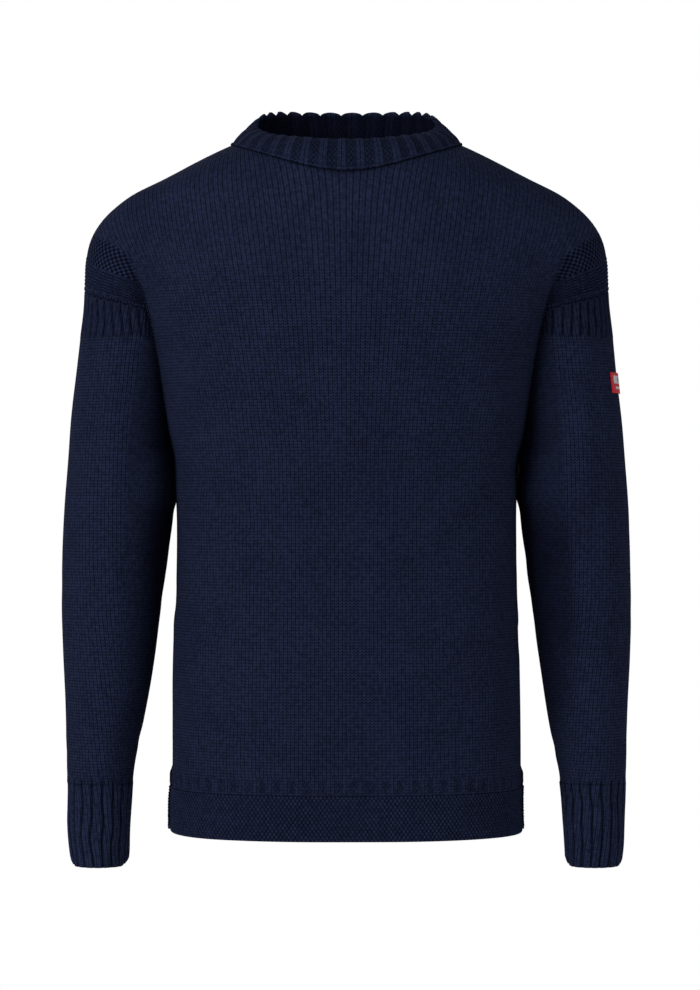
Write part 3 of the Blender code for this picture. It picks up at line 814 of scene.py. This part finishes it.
def sleeve(hand):
    """A sleeve from the armhole to the cuff, ribbed at its top. hand is 1 on the +X side, -1 on the other."""
    angle, top, length = armhole_ring(SLEEVE_COLUMNS)
    angle, top = angle[:-1], top[:-1]
    shares = (
        np.linspace(0.0, SEAM_SHARE, SEAM_ROWS + 1),
        np.linspace(SEAM_SHARE, LADDER_SHARE, LADDER_ROWS + 1)[1:],
        np.linspace(LADDER_SHARE, 1.0, SLEEVE_ROWS + 1)[1:],
    )
    share = np.concatenate(shares)[:, None]
    down = (top - CUFF_TOP_Z) * share
    plain = arm_point(angle + 0 * share, top - down)
    z = plain[..., 2]
    direction = outward(arm_gap, plain)

    # The ladder of ribs below the armhole and the first of the cuff's ribs
    ribs = round(length / CUFF_RIB)
    wander = 0.14 * unevenness(plain * (hand, 1, 1), 0.035, 9)
    phase = np.arange(SLEEVE_COLUMNS) / SLEEVE_COLUMNS * ribs + wander + LADDER_DRIFT * down
    laddered = ease((z - LADDER_END_Z) / 0.004) * ease((down - 0.002) / 0.003)
    gutter = np.exp(-(((down - 0.0014 - 0.0008 * np.cos(2 * pi * phase)) / 0.0014) ** 2))
    cuff_angle, cuff_phase = cuff_ribs()
    at_cuff = ease(1 - (z - CUFF_TOP_Z) / CUFF_RIB_START)
    rib = laddered * tight_rib(phase) + at_cuff * tight_rib(np.interp(-angle, -cuff_angle, cuff_phase))

    # Painted shade in the ribs, in the gutter below the seam, beside the body and on the sleeve's inner side
    from_body = torso_gap(plain)
    shade_by_body = ease(1 - from_body / SHADE_REACH[hand])
    shade_inside = ease((INNER_SHADE[hand] - plain[..., 0]) / 0.026) * ease((INNER_SHADE_TOP_Z - z) / 0.045)
    shade_inside = shade_inside * ease((z - INNER_SHADE_END_Z) / 0.09)
    painted_shade = laddered * np.clip(0.82 - 0.55 * rib, 0, 1) + at_cuff * np.clip(0.5 - 0.5 * rib, 0, 1)
    painted_shade = 1 - (1 - np.maximum(painted_shade, gutter)) * (1 - 0.75 * shade_by_body) * (1 - 0.60 * shade_inside)

    # Folds, and the swelling of the inner side where it leans on the body
    side_way = np.array([hand, 1.0, 1.0])
    free = ease(down / 0.03) * ease((z - CUFF_TOP_Z) / 0.03)
    leaning = ease((z - LEANING_TO_Z) / 0.02) * ease((UNDERARM_Z + 0.006 - z) / 0.006)
    leaning = leaning * np.clip(from_body, 0.0, LEANING_GAP) * ease((-np.cos(angle) - 0.30) / 0.50)
    sunk = folds_at(plain * side_way) * free - leaning
    wave = RIB_RELIEF * rib - 0.0006 * laddered - 0.0004 * at_cuff - 0.0007 * gutter
    outer = plain + direction * (wave - sunk)[..., None]
    inner = plain - direction * (BODY_THICKNESS + sunk)[..., None]
    walls = pulled_in((outer, inner), "bottom", -SEAM_LAP)
    return shell(
        f"knitted_sleeve_{HAND_NAMES[hand]}",
        *(wall * side_way for wall in walls),
        materials["sleeve"],
        ring=True,
        maps=round_maps(plain),
        values={"painted_shade": painted_shade, "stretched": np.maximum(laddered, at_cuff)},
    )


def cuff(hand):
    """A ribbed cuff, a little wavy, drawn in at its cast-on edge and rounded off at its two sides."""
    angle, phase = cuff_ribs()
    angle = read_along(phase, angle, np.linspace(0.0, phase[-1], CUFF_COLUMNS + 1))[:-1]
    down = np.linspace(0.0, CUFF_TOP_Z - CUFF_END_Z, CUFF_ROWS + 1)[:, None]
    plain = arm_point(angle + 0 * down, CUFF_TOP_Z - down + 0 * angle)
    direction = outward(arm_gap, plain)
    wander = 0.22 * unevenness(plain * (hand, 1, 1), 0.045, 13) * ease(down / 0.02)
    relief = tight_rib(np.arange(CUFF_COLUMNS) / CUFF_COLUMNS * phase[-1] + wander)
    end = ease(1 - (down[-1:] - down) / 0.003)
    half_width = (arm["outer"](CUFF_END_Z) - arm["inner"](CUFF_END_Z)) / 2
    past_corner = np.abs(np.cos(angle)) * half_width - half_width + CUFF_CORNER_WIDTH
    into_corner = np.maximum(past_corner, 0.0) / CUFF_CORNER_WIDTH
    lift = CUFF_CORNER_RISE * (1 - np.sqrt(1 - into_corner**2)) * (down / down[-1]) ** 4
    wave = RIB_RELIEF * relief - 0.0004 - BAND_UNEVEN_DEPTH * unevenness(plain * (hand, 1, 1), 0.05, 7)
    outer = plain + direction * (wave - 0.0008 * end)[..., None]
    inner = plain + direction * (wave - 0.0004 * relief - RIB_THICKNESS + 0.0006 * end)[..., None]
    outer[..., 2] += lift
    inner[..., 2] += lift
    return shell(
        f"ribbed_cuff_{HAND_NAMES[hand]}",
        outer * (hand, 1, 1),
        inner * (hand, 1, 1),
        materials["rib"],
        ring=True,
        maps=round_maps(plain),
        # Shade painted into the troughs between the ribs
        values={"painted_shade": np.clip(0.5 - 0.5 * relief, 0, 1)},
    )


# --- Neckband -------------------------------------------------------------------------------------


def neckband():
    """The 2x2 ribbed band from the neckline up to the neck opening, with a scalloped upper edge."""
    quarters = [evenly(neck_foot(side), NECK_COLUMNS) for side in (-1, 1)]
    half = np.concatenate([quarters[0], quarters[1][-2::-1]])
    foot = np.concatenate([half, (half * (-1, 1, 1))[-2:0:-1]])
    turn = np.arctan2(foot[:, 0], -foot[:, 1])
    back = -np.cos(turn)
    stand = np.where(back > 0, np.tanh(NECK_BACK_FULLNESS * back) / np.tanh(NECK_BACK_FULLNESS), back)
    top_z = NECK_TOP_Z + NECK_TOP_TIP * NECK_TOP_HALF_DEPTH * stand
    top = np.stack([NECK_TOP_HALF_WIDTH * np.sin(turn), NECK_TOP_HALF_DEPTH * back, top_z], axis=1)
    share = np.linspace(0.0, 1.0, NECK_ROWS + 1)[:, None]
    level = NECK_ROUNDNESS * (1 - np.cos(share * pi / 2)) + (1 - NECK_ROUNDNESS) * share
    upright = NECK_ROUNDNESS * np.sin(share * pi / 2) + (1 - NECK_ROUNDNESS) * share
    plain = foot + (top - foot) * np.stack([level, level, upright], axis=-1)
    direction = np.cross(np.roll(plain, -1, axis=1) - np.roll(plain, 1, axis=1), np.gradient(plain, axis=0))
    direction /= np.linalg.norm(direction, axis=-1, keepdims=True)

    closed = np.concatenate([foot, foot[:1]])
    phase = along_of(closed)[:-1] / along_of(closed)[-1] * NECK_RIBS + 0.25
    behind = ease(0.35 + foot[:, 1] / 0.10)
    relief = open_rib(phase + 0.05 * unevenness(plain, 0.06, 17)) * ease((share + 0.03) / 0.12)
    at_top = ease((share - 0.72) / 0.28)
    scallop = np.abs(np.cos(pi * phase)) ** 0.40 - 0.80
    rise = at_top**2 * scallop * (0.0002 + 0.0046 * behind)
    wave = (0.0004 + 0.0005 * behind) * relief
    wave = wave + BAND_UNEVEN_DEPTH * unevenness(plain, 0.05, 11) * ease(share * 3)
    wave = wave + 0.0016 * ease(1 - share / 0.12)
    rib_edge_shade = np.exp(-(((phase % 0.5 - 0.25) / 0.05) ** 2)) + 0 * share
    rim = ease((share - 0.86) / 0.14)
    outer = plain + direction * (wave - 0.0007 * rim)[..., None]
    inner = plain + direction * (0.8 * wave - RIB_THICKNESS + 0.0006 * rim)[..., None]
    outer[..., 2] += rise
    inner[..., 2] += rise
    walls = pulled_in((outer, inner), "bottom", -SEAM_LAP)
    up = along_of(plain).mean(axis=1)[:, None] + 0 * phase
    width = np.concatenate([phase, [phase[0] + NECK_RIBS]]) * 4 * WALE + 0 * share
    maps = {"stitch": np.stack([width, np.concatenate([up, up[:, :1]], axis=1)], axis=-1)}
    # Painted shade: along the ribs' edges outside, and inside too, deepening down into the band
    shaded = 1 - (1 - 0.25 * rib_edge_shade) * (1 - 0.9 * ease((1 - share) / 0.25))
    purl = 0.5 - 0.5 * np.tanh(3.0 * np.cos(2 * pi * phase))
    band = shell(
        "ribbed_neckband",
        *walls,
        materials["neck_rib"],
        ring=True,
        maps=maps,
        values={"painted_shade": (0.25 * rib_edge_shade, shaded), "purl": purl},
    )
    in_front = np.arange(-NECK_COLUMNS, NECK_COLUMNS + 1)
    rim_way = (outer[-1] - outer[-2])[in_front]
    rim_way = rim_way / np.linalg.norm(rim_way, axis=-1, keepdims=True)
    rim_line = ((outer[-1] * 0.8 + inner[-1] * 0.2)[in_front], rim_way, False)
    foot_line = (outer[1], direction[1], True)
    return band, rim_line, foot_line


# --- Label ----------------------------------------------------------------------------------------


def label():
    """The small woven label on the left sleeve, made from the sleeve's own points moved out."""
    u = np.linspace(0.0, 1.0, LABEL_COLUMNS + 1)[None, :]
    v = np.linspace(0.0, 1.0, LABEL_ROWS + 1)[:, None]
    angle = LABEL_FROM + (LABEL_TO - LABEL_FROM) * u + 0 * v
    height = LABEL_END_Z + (LABEL_TOP_Z - LABEL_END_Z) * v + 0 * u
    under = arm_point(angle, height)
    direction = outward(arm_gap, under)
    width = along_of(np.moveaxis(under, 1, 0)).T
    lift = LABEL_LIFT + LABEL_THICKNESS + 0.0002 * np.sin(pi * u) * np.sin(pi * v)
    outer = under + lift[..., None] * direction
    inner = outer - LABEL_THICKNESS * direction
    maps = {"weave": np.stack([width / width[:, -1:], v + 0 * u], axis=-1)}
    return shell("woven_label", outer, inner, materials["label"], maps=maps)


# --- Node trees -----------------------------------------------------------------------------------


class Wiring:
    """Short ways to place and join nodes in one tree."""

    def __init__(self, tree):
        self.tree = tree

    def add(self, kind, **settings):
        node = self.tree.nodes.new(kind)
        for name, value in settings.items():
            setattr(node, name, value)
        return node

    def join(self, value, socket):
        if isinstance(value, bpy.types.NodeSocket):
            self.tree.links.new(value, socket)
        else:
            socket.default_value = value

    def math(self, operation, *values):
        node = self.add("ShaderNodeMath", operation=operation)
        for value, socket in zip(values, node.inputs):
            self.join(value, socket)
        return node.outputs[0]

    def total(self, first, *others):
        for other in others:
            first = self.math("ADD", first, other)
        return first

    def product(self, first, *others):
        for other in others:
            first = self.math("MULTIPLY", first, other)
        return first

    def mixed(self, factor, first, second):
        """Colours mixed by a factor."""
        node = self.add("ShaderNodeMix", data_type="RGBA")
        for value, socket in ((factor, 0), (first, 6), (second, 7)):
            self.join(value, node.inputs[socket])
        return node.outputs[2]

    def blended(self, factor, first, second):
        """Numbers mixed by a factor."""
        node = self.add("ShaderNodeMix", data_type="FLOAT")
        for value, socket in ((factor, 0), (first, 2), (second, 3)):
            self.join(value, node.inputs[socket])
        return node.outputs[0]

    def stretched(self, value, low, high, to_low=0.0, to_high=1.0):
        node = self.add("ShaderNodeMapRange", interpolation_type="SMOOTHSTEP")
        for number, socket in zip((value, low, high, to_low, to_high), node.inputs):
            self.join(number, socket)
        return node.outputs[0]

    def noise(self, vector, scale, detail=2.0, roughness=0.5):
        node = self.add("ShaderNodeTexNoise")
        self.join(vector, node.inputs["Vector"])
        for name, value in (("Scale", scale), ("Detail", detail), ("Roughness", roughness)):
            node.inputs[name].default_value = value
        return node.outputs["Fac"]

    def group(self, tree, **values):
        node = self.add("ShaderNodeGroup", node_tree=tree)
        for name, value in values.items():
            self.join(value, node.inputs[name.replace("_", " ")])
        return node.outputs


def new_group(name, inputs, outputs):
    """An empty shader node group with named sockets, and the wiring to fill it."""
    tree = bpy.data.node_groups.new(name, "ShaderNodeTree")
    kinds = {"float": "NodeSocketFloat", "vector": "NodeSocketVector", "colour": "NodeSocketColor"}
    for label_text, kind in inputs:
        tree.interface.new_socket(label_text, in_out="INPUT", socket_type=kinds[kind])
    for label_text, kind in outputs:
        tree.interface.new_socket(label_text, in_out="OUTPUT", socket_type=kinds[kind])
    wiring = Wiring(tree)
    return wiring, wiring.add("NodeGroupInput").outputs, wiring.add("NodeGroupOutput").inputs


# --- Rows of stitches -----------------------------------------------------------------------------


def stitch_tree():
    """Geometry Nodes that lay plump stitches side by side along an edge, each leaning across it."""
    tree = bpy.data.node_groups.new("stitches along an edge", "GeometryNodeTree")
    tree.interface.new_socket("Edge", in_out="INPUT", socket_type="NodeSocketGeometry")
    for name, value in (
        ("Spacing", 0.004),
        ("Length", 0.0045),
        ("Width", 0.0022),
        ("Height", 0.0018),
        ("Lean", 0.6),
        ("Unevenness", 0.12),
    ):
        tree.interface.new_socket(name, in_out="INPUT", socket_type="NodeSocketFloat").default_value = value
    tree.interface.new_socket("Yarn", in_out="INPUT", socket_type="NodeSocketMaterial")
    tree.interface.new_socket("Stitches", in_out="OUTPUT", socket_type="NodeSocketGeometry")
    w = Wiring(tree)
    given, result = w.add("NodeGroupInput").outputs, w.add("NodeGroupOutput").inputs

    curve = w.add("GeometryNodeMeshToCurve")
    w.join(given["Edge"], curve.inputs["Mesh"])
    spread = w.add("GeometryNodeResampleCurve", mode="LENGTH")
    w.join(curve.outputs["Curve"], spread.inputs["Curve"])
    w.join(given["Spacing"], spread.inputs["Length"])

    bead = w.add("GeometryNodeMeshUVSphere")
    for name, value in (("Segments", 8), ("Rings", 6), ("Radius", 0.5)):
        w.join(value, bead.inputs[name])

    away = w.add("GeometryNodeInputNamedAttribute", data_type="FLOAT_VECTOR")
    w.join("away", away.inputs["Name"])
    stand = w.add("FunctionNodeAlignRotationToVector", axis="Z")
    w.join(away.outputs["Attribute"], stand.inputs["Vector"])
    follow = w.add("FunctionNodeAlignRotationToVector", axis="X", pivot_axis="Z")
    w.join(stand.outputs["Rotation"], follow.inputs["Rotation"])
    w.join(w.add("GeometryNodeInputTangent").outputs["Tangent"], follow.inputs["Vector"])

    uneven = given["Unevenness"]
    least, most = w.math("SUBTRACT", 1.0, uneven), w.math("ADD", 1.0, uneven)

    def drawn(name, seed):
        node = w.add("FunctionNodeRandomValue", data_type="FLOAT")
        for value, socket in ((least, 2), (most, 3), (seed, "Seed")):
            w.join(value, node.inputs[socket])
        return w.math("MULTIPLY", given[name], node.outputs[1])

    turn = w.add("FunctionNodeAxisAngleToRotation")
    w.join((0.0, 0.0, 1.0), turn.inputs["Axis"])
    w.join(drawn("Lean", 1), turn.inputs["Angle"])
    turned = w.add("FunctionNodeRotateRotation", rotation_space="LOCAL")
    w.join(follow.outputs["Rotation"], turned.inputs["Rotation"])
    w.join(turn.outputs["Rotation"], turned.inputs["Rotate By"])
    size = w.add("ShaderNodeCombineXYZ")
    for axis, (name, seed) in enumerate((("Length", 2), ("Width", 3), ("Height", 4))):
        w.join(drawn(name, seed), size.inputs[axis])

    place = w.add("GeometryNodeInstanceOnPoints")
    w.join(spread.outputs["Curve"], place.inputs["Points"])
    w.join(bead.outputs["Mesh"], place.inputs["Instance"])
    w.join(turned.outputs["Rotation"], place.inputs["Rotation"])
    w.join(size.outputs["Vector"], place.inputs["Scale"])
    stitches = place.outputs["Instances"]
    for kind in ("RealizeInstances", "SetShadeSmooth", "SetMaterial"):
        step = w.add(f"GeometryNode{kind}")
        w.join(stitches, step.inputs["Geometry"])
        stitches = step.outputs["Geometry"]
    w.join(given["Yarn"], step.inputs["Material"])
    w.join(stitches, result["Stitches"])
    return tree


def stitch_row(name, paths, **sizes):
    """One piece of stitches along edges. A path is (points, directions away from the cloth, closed)."""
    mesh = bpy.data.meshes.new(name)
    points, ways, edges = [], [], []
    for line, way, closed in paths:
        first, count = len(points), len(line)
        points += line.tolist()
        ways += way.tolist()
        edges += [(first + i, first + (i + 1) % count) for i in range(count if closed else count - 1)]
    mesh.from_pydata(points, edges, [])
    away = mesh.attributes.new("away", "FLOAT_VECTOR", "POINT")
    away.data.foreach_set("vector", np.array(ways, dtype=np.float32).ravel())
    piece = placed(name, mesh)
    modifier = piece.modifiers.new("stitches", "NODES")
    modifier.node_group = trees["stitches"]
    sockets = {item.name: item.identifier for item in trees["stitches"].interface.items_tree}
    for socket, value in {**sizes, "Yarn": materials["yarn"]}.items():
        modifier[sockets[socket]] = value
    reader = piece.evaluated_get(bpy.context.evaluated_depsgraph_get())
    made = bpy.data.meshes.new_from_object(reader)
    piece.modifiers.clear()
    piece.data = made
    made.name = name
    return piece


def armhole_path(hand):
    """The path round an armhole seam, lifted off the cloth."""
    angle, top, _ = armhole_ring(LINE_POINTS)
    line = arm_point(angle[:-1], top[:-1])
    way = outward(arm_gap, line)
    mirror = np.array([hand, 1.0, 1.0])
    return (line + ROPE_LIFT * way) * mirror, way * mirror, True


# --- Materials ------------------------------------------------------------------------------------


def stocking_stitch_group():
    """Columns of V stitches: their height, from 0 in the gaps to 1 on the yarn."""
    w, given, result = new_group(
        "stocking stitch",
        [("Map", "vector"), *((name, "float") for name in ("Wale", "Course", "Slant", "Rounding"))],
        [("Height", "float")],
    )
    split = w.add("ShaderNodeSeparateXYZ")
    w.join(given["Map"], split.inputs[0])
    wale = w.math("FRACT", w.math("DIVIDE", split.outputs[0], given["Wale"]))
    beside = w.product(w.math("ABSOLUTE", w.math("SUBTRACT", wale, 0.5)), 2.0)
    course = w.math("DIVIDE", split.outputs[1], given["Course"])
    loop = w.math("FRACT", w.math("SUBTRACT", course, w.product(beside, given["Slant"])))
    leg = w.math("DIVIDE", w.math("SUBTRACT", beside, 0.42), 0.58)
    round_leg = w.math("SQRT", w.math("MAXIMUM", w.math("SUBTRACT", 1.0, w.product(leg, leg)), 0.0))
    plump = w.math("SINE", w.product(loop, pi))
    w.join(w.product(round_leg, w.blended(given["Rounding"], 1.0, plump)), result["Height"])
    return w.tree


def seed_stitch_group():
    """Purl bumps that are staggered from row to row: their height, from 0 in the pits to 1."""
    w, given, result = new_group(
        "seed stitch", [("Map", "vector"), ("Across", "float"), ("Along", "float")], [("Height", "float")]
    )
    split = w.add("ShaderNodeSeparateXYZ")
    w.join(given["Map"], split.inputs[0])
    turns = [
        w.math("COSINE", w.product(w.math("DIVIDE", split.outputs[axis], given[name]), 2 * pi))
        for axis, name in ((0, "Across"), (1, "Along"))
    ]
    w.join(w.stretched(w.product(*turns), -0.6, 0.6), result["Height"])
    return w.tree


def worsted_group():
    """Navy worsted: its colour, from shade painted in the gaps between stitches up to the yarn's crown, and
    its fibres.
    """
    w, given, result = new_group(
        "worsted wool",
        [
            ("Place", "vector"),
            *((name, "float") for name in ("Crown", "Hollow")),
            *((name, "colour") for name in ("Light", "GapShade")),
        ],
        [("Colour", "colour"), ("Fibre", "float")],
    )
    fibre = w.noise(given["Place"], 1500.0, 2.0, 0.6)
    yarn = w.noise(given["Place"], 260.0, 2.0, 0.6)
    cloth = w.noise(given["Place"], 22.0, 3.0, 0.5)
    spin = w.stretched(yarn, 0.30, 0.72, 0.62, 1.18)
    patch = w.stretched(cloth, 0.3, 0.7, 0.90, 1.08)
    # Painted shade: from the yarn's crown the colour goes down to near black in the gaps between stitches
    crown = w.stretched(given["Crown"], 0.10, 0.90, 0.05, 1.0)
    # Darker still where a piece's points carry painted shade
    raised = w.math("SUBTRACT", 1.0, w.product(given["Hollow"], 0.85))
    share = w.product(crown, raised, spin, patch)
    w.join(w.mixed(share, given["GapShade"], given["Light"]), result["Colour"])
    w.join(w.total(w.product(fibre, 0.35), w.product(yarn, 0.65)), result["Fibre"])
    return w.tree


def new_material(name):
    """A material, the wiring to fill it and its shader."""
    material = bpy.data.materials.new(name)
    material.use_nodes = True
    return material, Wiring(material.node_tree), material.node_tree.nodes["Principled BSDF"]


def attribute(w, name):
    """A number that a piece carries on its own points."""
    return w.add("ShaderNodeAttribute", attribute_name=name).outputs["Fac"]


def knit_material(name, height_of_knit, paints_shade=True):
    """Navy worsted in one kind of knitting. height_of_knit(wiring) gives the height of its stitches."""
    material, w, shader = new_material(name)
    place = w.add("ShaderNodeTexCoord").outputs["Object"]
    height = height_of_knit(w)
    # The shade painted into this knit's colour, carried on each piece's points
    painted_shade = attribute(w, "painted_shade") if paints_shade else 0.0
    colours = {"Light": WOOL_LIGHT, "GapShade": WOOL_GAP_SHADE}
    wool = w.group(trees["worsted"], Place=place, Crown=height, Hollow=painted_shade, **colours)
    w.join(wool["Colour"], shader.inputs["Base Color"])
    bump = w.add("ShaderNodeBump")
    bump.inputs["Strength"].default_value = 1.0
    bump.inputs["Distance"].default_value = 0.0011
    w.join(w.total(height, w.product(wool["Fibre"], 0.22)), bump.inputs["Height"])
    w.join(bump.outputs["Normal"], shader.inputs["Normal"])
    for socket, value in (
        ("Roughness", 0.88),
        ("Specular IOR Level", 0.02),
        ("Sheen Weight", 0.01),
        ("Sheen Roughness", 0.45),
        ("Sheen Tint", WOOL_SHEEN),
    ):
        shader.inputs[socket].default_value = value
    return material


def plain_stitches(w, rounding=0.35):
    """Stocking stitch on a piece's own map. The more rounding, the more its courses show."""
    at = w.add("ShaderNodeUVMap", uv_map="stitch").outputs[0]
    stitches = w.group(trees["stocking"], Map=at, Wale=WALE, Course=COURSE, Slant=0.4, Rounding=rounding)
    return stitches["Height"]


def slack_stitches(w):
    """Stocking stitch whose courses show less where it is ribbed or stretched over the shoulders."""
    return plain_stitches(w, w.blended(attribute(w, "stretched"), 0.62, 0.25))


def purl_stitches(w):
    """The back of stocking stitch: short bars staggered from row to row."""
    at = w.add("ShaderNodeUVMap", uv_map="stitch").outputs[0]
    return w.group(trees["seed"], Map=at, Across=WALE, Along=2 * COURSE)["Height"]


def rib_stitches(w, knit=None):
    """Knit and purl wales by turns. The purl ones lie lower and look flatter."""
    purl = w.total(w.product(purl_stitches(w), 0.22), 0.32)
    return w.blended(attribute(w, "purl"), knit or plain_stitches(w), purl)


def body_stitches(w):
    """Stocking stitch, with moss stitch in the band on the upper arm and purl blocks above the welt."""
    moss_at = w.add("ShaderNodeUVMap", uv_map="border").outputs[0]
    moss = w.group(trees["seed"], Map=moss_at, Across=2.6 * COURSE, Along=1.25 * WALE)["Height"]
    return w.blended(attribute(w, "moss"), rib_stitches(w, slack_stitches(w)), moss)


def label_material():
    """Red woven ribbon with a plain white block, a small blue lozenge in it and a pale bar below."""
    material, w, shader = new_material("red woven label")
    split = w.add("ShaderNodeSeparateXYZ")
    w.join(w.add("ShaderNodeUVMap", uv_map="weave").outputs[0], split.inputs[0])
    u, v = split.outputs[0], split.outputs[1]

    def inside(value, middle, half):
        return w.math("LESS_THAN", w.math("ABSOLUTE", w.math("SUBTRACT", value, middle)), half)

    block = w.product(inside(u, 0.50, 0.36), inside(v, 0.66, 0.19))
    bar = w.product(inside(u, 0.50, 0.26), inside(v, 0.26, 0.055))
    leaning = w.total(
        w.product(w.math("ABSOLUTE", w.math("SUBTRACT", u, 0.50)), 1.7),
        w.math("ABSOLUTE", w.math("SUBTRACT", v, 0.66)),
    )
    lozenge = w.math("LESS_THAN", leaning, 0.13)
    colour = w.mixed(block, LABEL_RED, LABEL_WHITE)
    colour = w.mixed(bar, colour, LABEL_WHITE)
    colour = w.mixed(lozenge, colour, LABEL_BLUE)
    threads = w.product(
        w.math("SINE", w.product(u, 2 * pi * 60)),
        w.math("SINE", w.product(v, 2 * pi * 42)),
    )
    shade = w.total(w.product(threads, 0.10), 0.90)
    tint = w.mixed(shade, (0.05, 0.004, 0.008, 1.0), colour)
    w.join(tint, shader.inputs["Base Color"])
    bump = w.add("ShaderNodeBump")
    bump.inputs["Distance"].default_value = 0.0002
    w.join(threads, bump.inputs["Height"])
    w.join(bump.outputs["Normal"], shader.inputs["Normal"])
    for socket, value in (("Roughness", 0.55), ("Specular IOR Level", 0.3), ("Sheen Weight", 0.1)):
        shader.inputs[socket].default_value = value
    return material


# --- Studio ---------------------------------------------------------------------------------------

CAMERA_AT = (0.0035, -3.4, -0.347)
SENSOR = 36.0
VIEW_HEIGHT = 0.990
FLOOR_Z = -1.45
FLOOR_RADIUS = 2.6
FLOOR_CORNERS = 96
ROOM_LIGHT = 0.22
LIGHTS_AIM_Z = -0.30


def studio():
    """A pale floor, a white room and soft light, most of it from the wearer's right."""
    scene = bpy.context.scene
    scene.view_settings.view_transform = "Standard"
    camera = placed("camera", bpy.data.cameras.new("camera"))
    camera.data.sensor_fit = "VERTICAL"
    camera.data.sensor_height = SENSOR
    camera.data.lens = SENSOR * -CAMERA_AT[1] / VIEW_HEIGHT
    camera.location = CAMERA_AT
    camera.rotation_euler = (pi / 2, 0.0, 0.0)
    scene.camera = camera

    world = bpy.data.worlds.new("white room")
    world.use_nodes = True
    w = Wiring(world.node_tree)
    seen, lit = world.node_tree.nodes["Background"], w.add("ShaderNodeBackground")
    for background, strength in ((seen, 1.0), (lit, ROOM_LIGHT)):
        background.inputs["Color"].default_value = (1.0, 1.0, 1.0, 1.0)
        background.inputs["Strength"].default_value = strength
    room = w.add("ShaderNodeMixShader")
    w.join(w.add("ShaderNodeLightPath").outputs["Is Camera Ray"], room.inputs[0])
    w.join(lit.outputs[0], room.inputs[1])
    w.join(seen.outputs[0], room.inputs[2])
    w.join(room.outputs[0], world.node_tree.nodes["World Output"].inputs["Surface"])
    scene.world = world

    for name, place, size, power in (
        ("key light", (-2.6, -2.4, 0.6), 2.0, 84.0),
        ("fill light", (2.8, -2.0, 0.2), 2.2, 31.0),
        ("back light", (-0.6, 2.9, 0.9), 2.4, 22.0),
    ):
        lamp = bpy.data.lights.new(name, "AREA")
        lamp.size, lamp.energy = size, power
        light = placed(name, lamp)
        light.location = place
        away = np.array(place) - np.array([0.0, 0.0, LIGHTS_AIM_Z])
        level = np.hypot(away[0], away[1])
        light.rotation_euler = (np.arctan2(level, away[2]), 0.0, np.arctan2(away[0], -away[1]))

    turn = np.linspace(0.0, 2 * pi, FLOOR_CORNERS + 1)[:-1]
    ring = [(FLOOR_RADIUS * cos(t), FLOOR_RADIUS * sin(t), FLOOR_Z) for t in turn]
    mesh = bpy.data.meshes.new("floor")
    mesh.from_pydata(ring, [], [list(range(len(ring)))])
    pale, _, shader = new_material("pale floor")
    shader.inputs["Base Color"].default_value = (0.86, 0.86, 0.86, 1.0)
    shader.inputs["Roughness"].default_value = 0.9
    mesh.materials.append(pale)
    placed("floor", mesh)


# --- The sweater ----------------------------------------------------------------------------------

trees = {
    "stitches": stitch_tree(),
    "stocking": stocking_stitch_group(),
    "seed": seed_stitch_group(),
    "worsted": worsted_group(),
}
materials = {
    "body": knit_material("navy body knit", body_stitches),
    "sleeve": knit_material("navy sleeve knit", slack_stitches),
    "rib": knit_material("navy cuff rib", plain_stitches),
    "neck_rib": knit_material("navy neck rib", rib_stitches),
    "garter": knit_material("navy garter knit", lambda w: 0.9),
    "yarn": knit_material("navy seam yarn", lambda w: 0.8, paints_shade=False),
    "label": label_material(),
}


def main():
    studio()
    band, neck_rim, neck_foot_line = neckband()
    cloth = {
        "body_front": body_panel(-1),
        "body_back": body_panel(1),
        "hem_welt_front": welt(-1),
        "hem_welt_back": welt(1),
        "sleeve_left": sleeve(1),
        "sleeve_right": sleeve(-1),
        "cuff_left": cuff(1),
        "cuff_right": cuff(-1),
        "neckband": band,
        "sleeve_label": label(),
    }
    seams = {}
    for hand, name in HAND_NAMES.items():
        lean = ARMHOLE_LEAN * hand
        rope = stitch_row(f"armhole_seam_{name}", [armhole_path(hand)], Lean=lean, **ARMHOLE_ROPE)
        seams[f"sleeve_{name}"] = rope
    seams["neckband"] = stitch_row("neckband_edges", [neck_rim, neck_foot_line], **NECK_ROPE)
    for node, piece in cloth.items():
        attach(piece, "root")
        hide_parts(node)
    for piece in seams.values():
        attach(piece, "root")


main()
